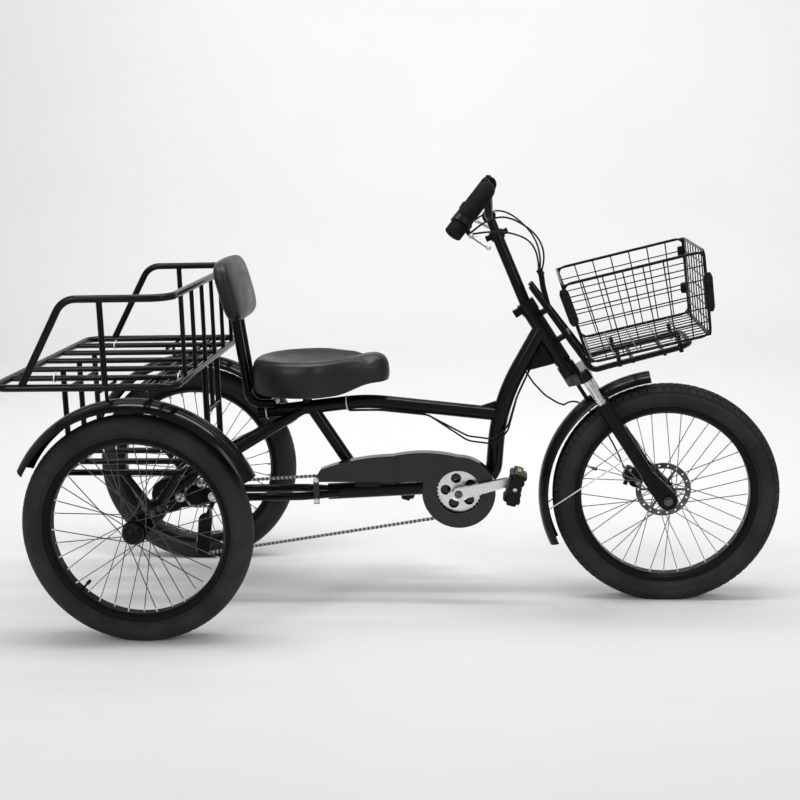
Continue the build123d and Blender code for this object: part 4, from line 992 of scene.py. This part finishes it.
def cable_collar():
    """The ribbed rubber collar where the three lever cables enter the sleeve."""
    clear_selection()
    bpy.ops.mesh.primitive_cylinder_add(vertices=24, radius=0.0092, depth=0.008)
    collar = begin("cable_collar")
    pick_faces(collar, upward)
    grow(((0.92, 0.0015), (1.0, 0.003), (1.08, 0.001), (1.0, 0.003), (0.88, 0.002)))
    bpy.ops.object.mode_set(mode="OBJECT")
    collar.data.transform(turned_to(on_head(0.0815, 0.0, 0.7315), HEAD_UP))
    finish_piece(collar, "frame", CABLE, 35)


def basket_rims():
    """The thicker bent rods round the edges of the basket's four panels."""
    long, tall, flare, half = 0.326, 0.223, 0.027, 0.2118
    corner_r, rod_r = 0.026, 0.0030
    sides = [[(0, y, 0), (long, y, 0), (long + flare, y, tall), (-flare, y, tall)]
             for y in (-half, half)]
    ends = [[(x, -half, 0), (x, half, 0), (x + lean, half, tall), (x + lean, -half, tall)]
            for x, lean in ((0, -flare), (long, flare))]
    rims = []
    for corners in sides + ends:
        clear_selection()
        bpy.ops.mesh.primitive_plane_add(size=1.0)
        rim = begin("basket_rim")
        bpy.ops.object.mode_set(mode="OBJECT")
        order = sorted(rim.data.vertices, key=lambda vert: math.atan2(vert.co.y, vert.co.x))
        for vert, corner in zip(order, corners):
            vert.co = BASKET @ Vector(corner)
        bpy.ops.object.mode_set(mode="EDIT")
        bpy.ops.mesh.select_all(action="SELECT")
        bpy.ops.mesh.bevel(offset=corner_r, segments=5, affect="VERTICES")
        bpy.ops.mesh.select_all(action="SELECT")
        bpy.ops.mesh.delete(type="ONLY_FACE")
        bpy.ops.object.mode_set(mode="OBJECT")
        bpy.ops.object.convert(target="CURVE")
        bpy.context.object.data.bevel_depth = rod_r
        bpy.context.object.data.bevel_resolution = 2
        bpy.ops.object.convert(target="MESH")
        rims.append(bpy.context.object)
    finish_piece(gather("basket_rims", rims), "frame", WIRE, 45)


def bar_posts():
    """Two small posts with round caps on top of the handlebar."""
    posts = []
    for side in (-1, 1):
        clear_selection()
        bpy.ops.mesh.primitive_cylinder_add(vertices=20, radius=0.0055, depth=0.012)
        post = begin("bar_post")
        pick_faces(post, upward)
        grow(((1.35, 0.0), (1.0, 0.007), (0.8, 0.001)))
        bpy.ops.object.mode_set(mode="OBJECT")
        post.data.transform(Matrix.Translation((0.2456, side * 0.150, 1.2235)))
        posts.append(post)
    finish_piece(gather("bar_posts", posts), "steering", PLASTIC, 35)


basket_plates()
pedal_reflectors()
pedal_treads()
caliper_fittings()
bent_cables()
cable_collar()
basket_rims()
bar_posts()

# Floor, light and camera


def floor_and_light():
    """A pale sweep of paper under and behind the tricycle, with broad soft lamps."""
    clear_selection()
    bpy.ops.mesh.primitive_plane_add(size=1.0)
    floor = begin("studio_sweep")
    bpy.ops.mesh.select_all(action="SELECT")
    bpy.ops.transform.resize(value=(24, 9, 1))
    pick_verts(floor, lambda p: p.y > 0)
    bpy.ops.transform.translate(value=(0, -1.2, 0))
    for step in ((0, 0.9, 0.25), (0, 0.5, 0.9), (0, 0.1, 7.0)):
        bpy.ops.mesh.extrude_region_move(TRANSFORM_OT_translate={"value": step})
    bpy.ops.object.mode_set(mode="OBJECT")
    use(floor, "SUBSURF", levels=3, render_levels=3)
    reshape(floor, lambda p: Vector((p.x, p.y, max(p.z, 0.0))))
    bpy.ops.object.shade_smooth()
    f = Finish("pale_paper")
    f.colour(f.mottle((0.655, 0.657, 0.662), (0.685, 0.687, 0.690), 0.8, 4.0))
    f.put(Roughness=0.85)
    f.relief(f.noise(240.0), 0.03, 0.0005)
    floor.data.materials.append(f.material)

    def lamp(name, place, aim, size, power):
        data = bpy.data.lights.new(name, "AREA")
        data.shape, data.energy = "RECTANGLE", power
        data.size, data.size_y = size
        made = bpy.data.objects.new(name, data)
        bpy.context.collection.objects.link(made)
        turn = (Vector(aim) - Vector(place)).to_track_quat("-Z", "Y").to_matrix().to_4x4()
        made.matrix_world = Matrix.Translation(place) @ turn

    lamp("overhead", (0.0, -0.3, 3.4), (0, 0.0, 0.4), (3.6, 0.4), 84)
    lamp("front_left", (-2.4, -3.6, 2.6), (-0.1, 0, 0.5), (0.5, 2.2), 34)
    lamp("front_right", (2.8, -3.2, 2.4), (0.2, 0, 0.5), (0.5, 2.0), 26)
    lamp("backdrop", (0.0, 1.2, 3.6), (0, 4.2, 1.4), (8.0, 0.8), 168)

    world = bpy.data.worlds.new("studio")
    bpy.context.scene.world = world
    world.use_nodes = True
    background = world.node_tree.nodes["Background"]
    background.inputs["Strength"].default_value = 0.46
    background.inputs["Color"].default_value = (0.97, 0.985, 1.0, 1.0)


def camera():
    """The photographer's view from the right side, a little above the saddle."""
    yaw, pitch, roll = -0.0898, 0.206, 0.0252
    level = math.cos(pitch)
    forward = Vector((math.sin(yaw) * level, math.cos(yaw) * level, -math.sin(pitch)))
    right = Vector((math.cos(yaw), -math.sin(yaw), 0))
    down = forward.cross(right)
    across = right * math.cos(roll) + down * math.sin(roll)
    below = -right * math.sin(roll) + down * math.cos(roll)
    data = bpy.data.cameras.new("camera")
    data.sensor_width = 36.0
    data.lens = 57.69
    made = bpy.data.objects.new("camera", data)
    bpy.context.collection.objects.link(made)
    turn = Matrix((across, -below, -forward)).transposed()
    made.matrix_world = Matrix.Translation((0.3131, -3.6282, 1.3657)) @ turn.to_4x4()
    bpy.context.scene.camera = made


floor_and_light()
camera()
bpy.context.scene.view_settings.view_transform = "Standard"
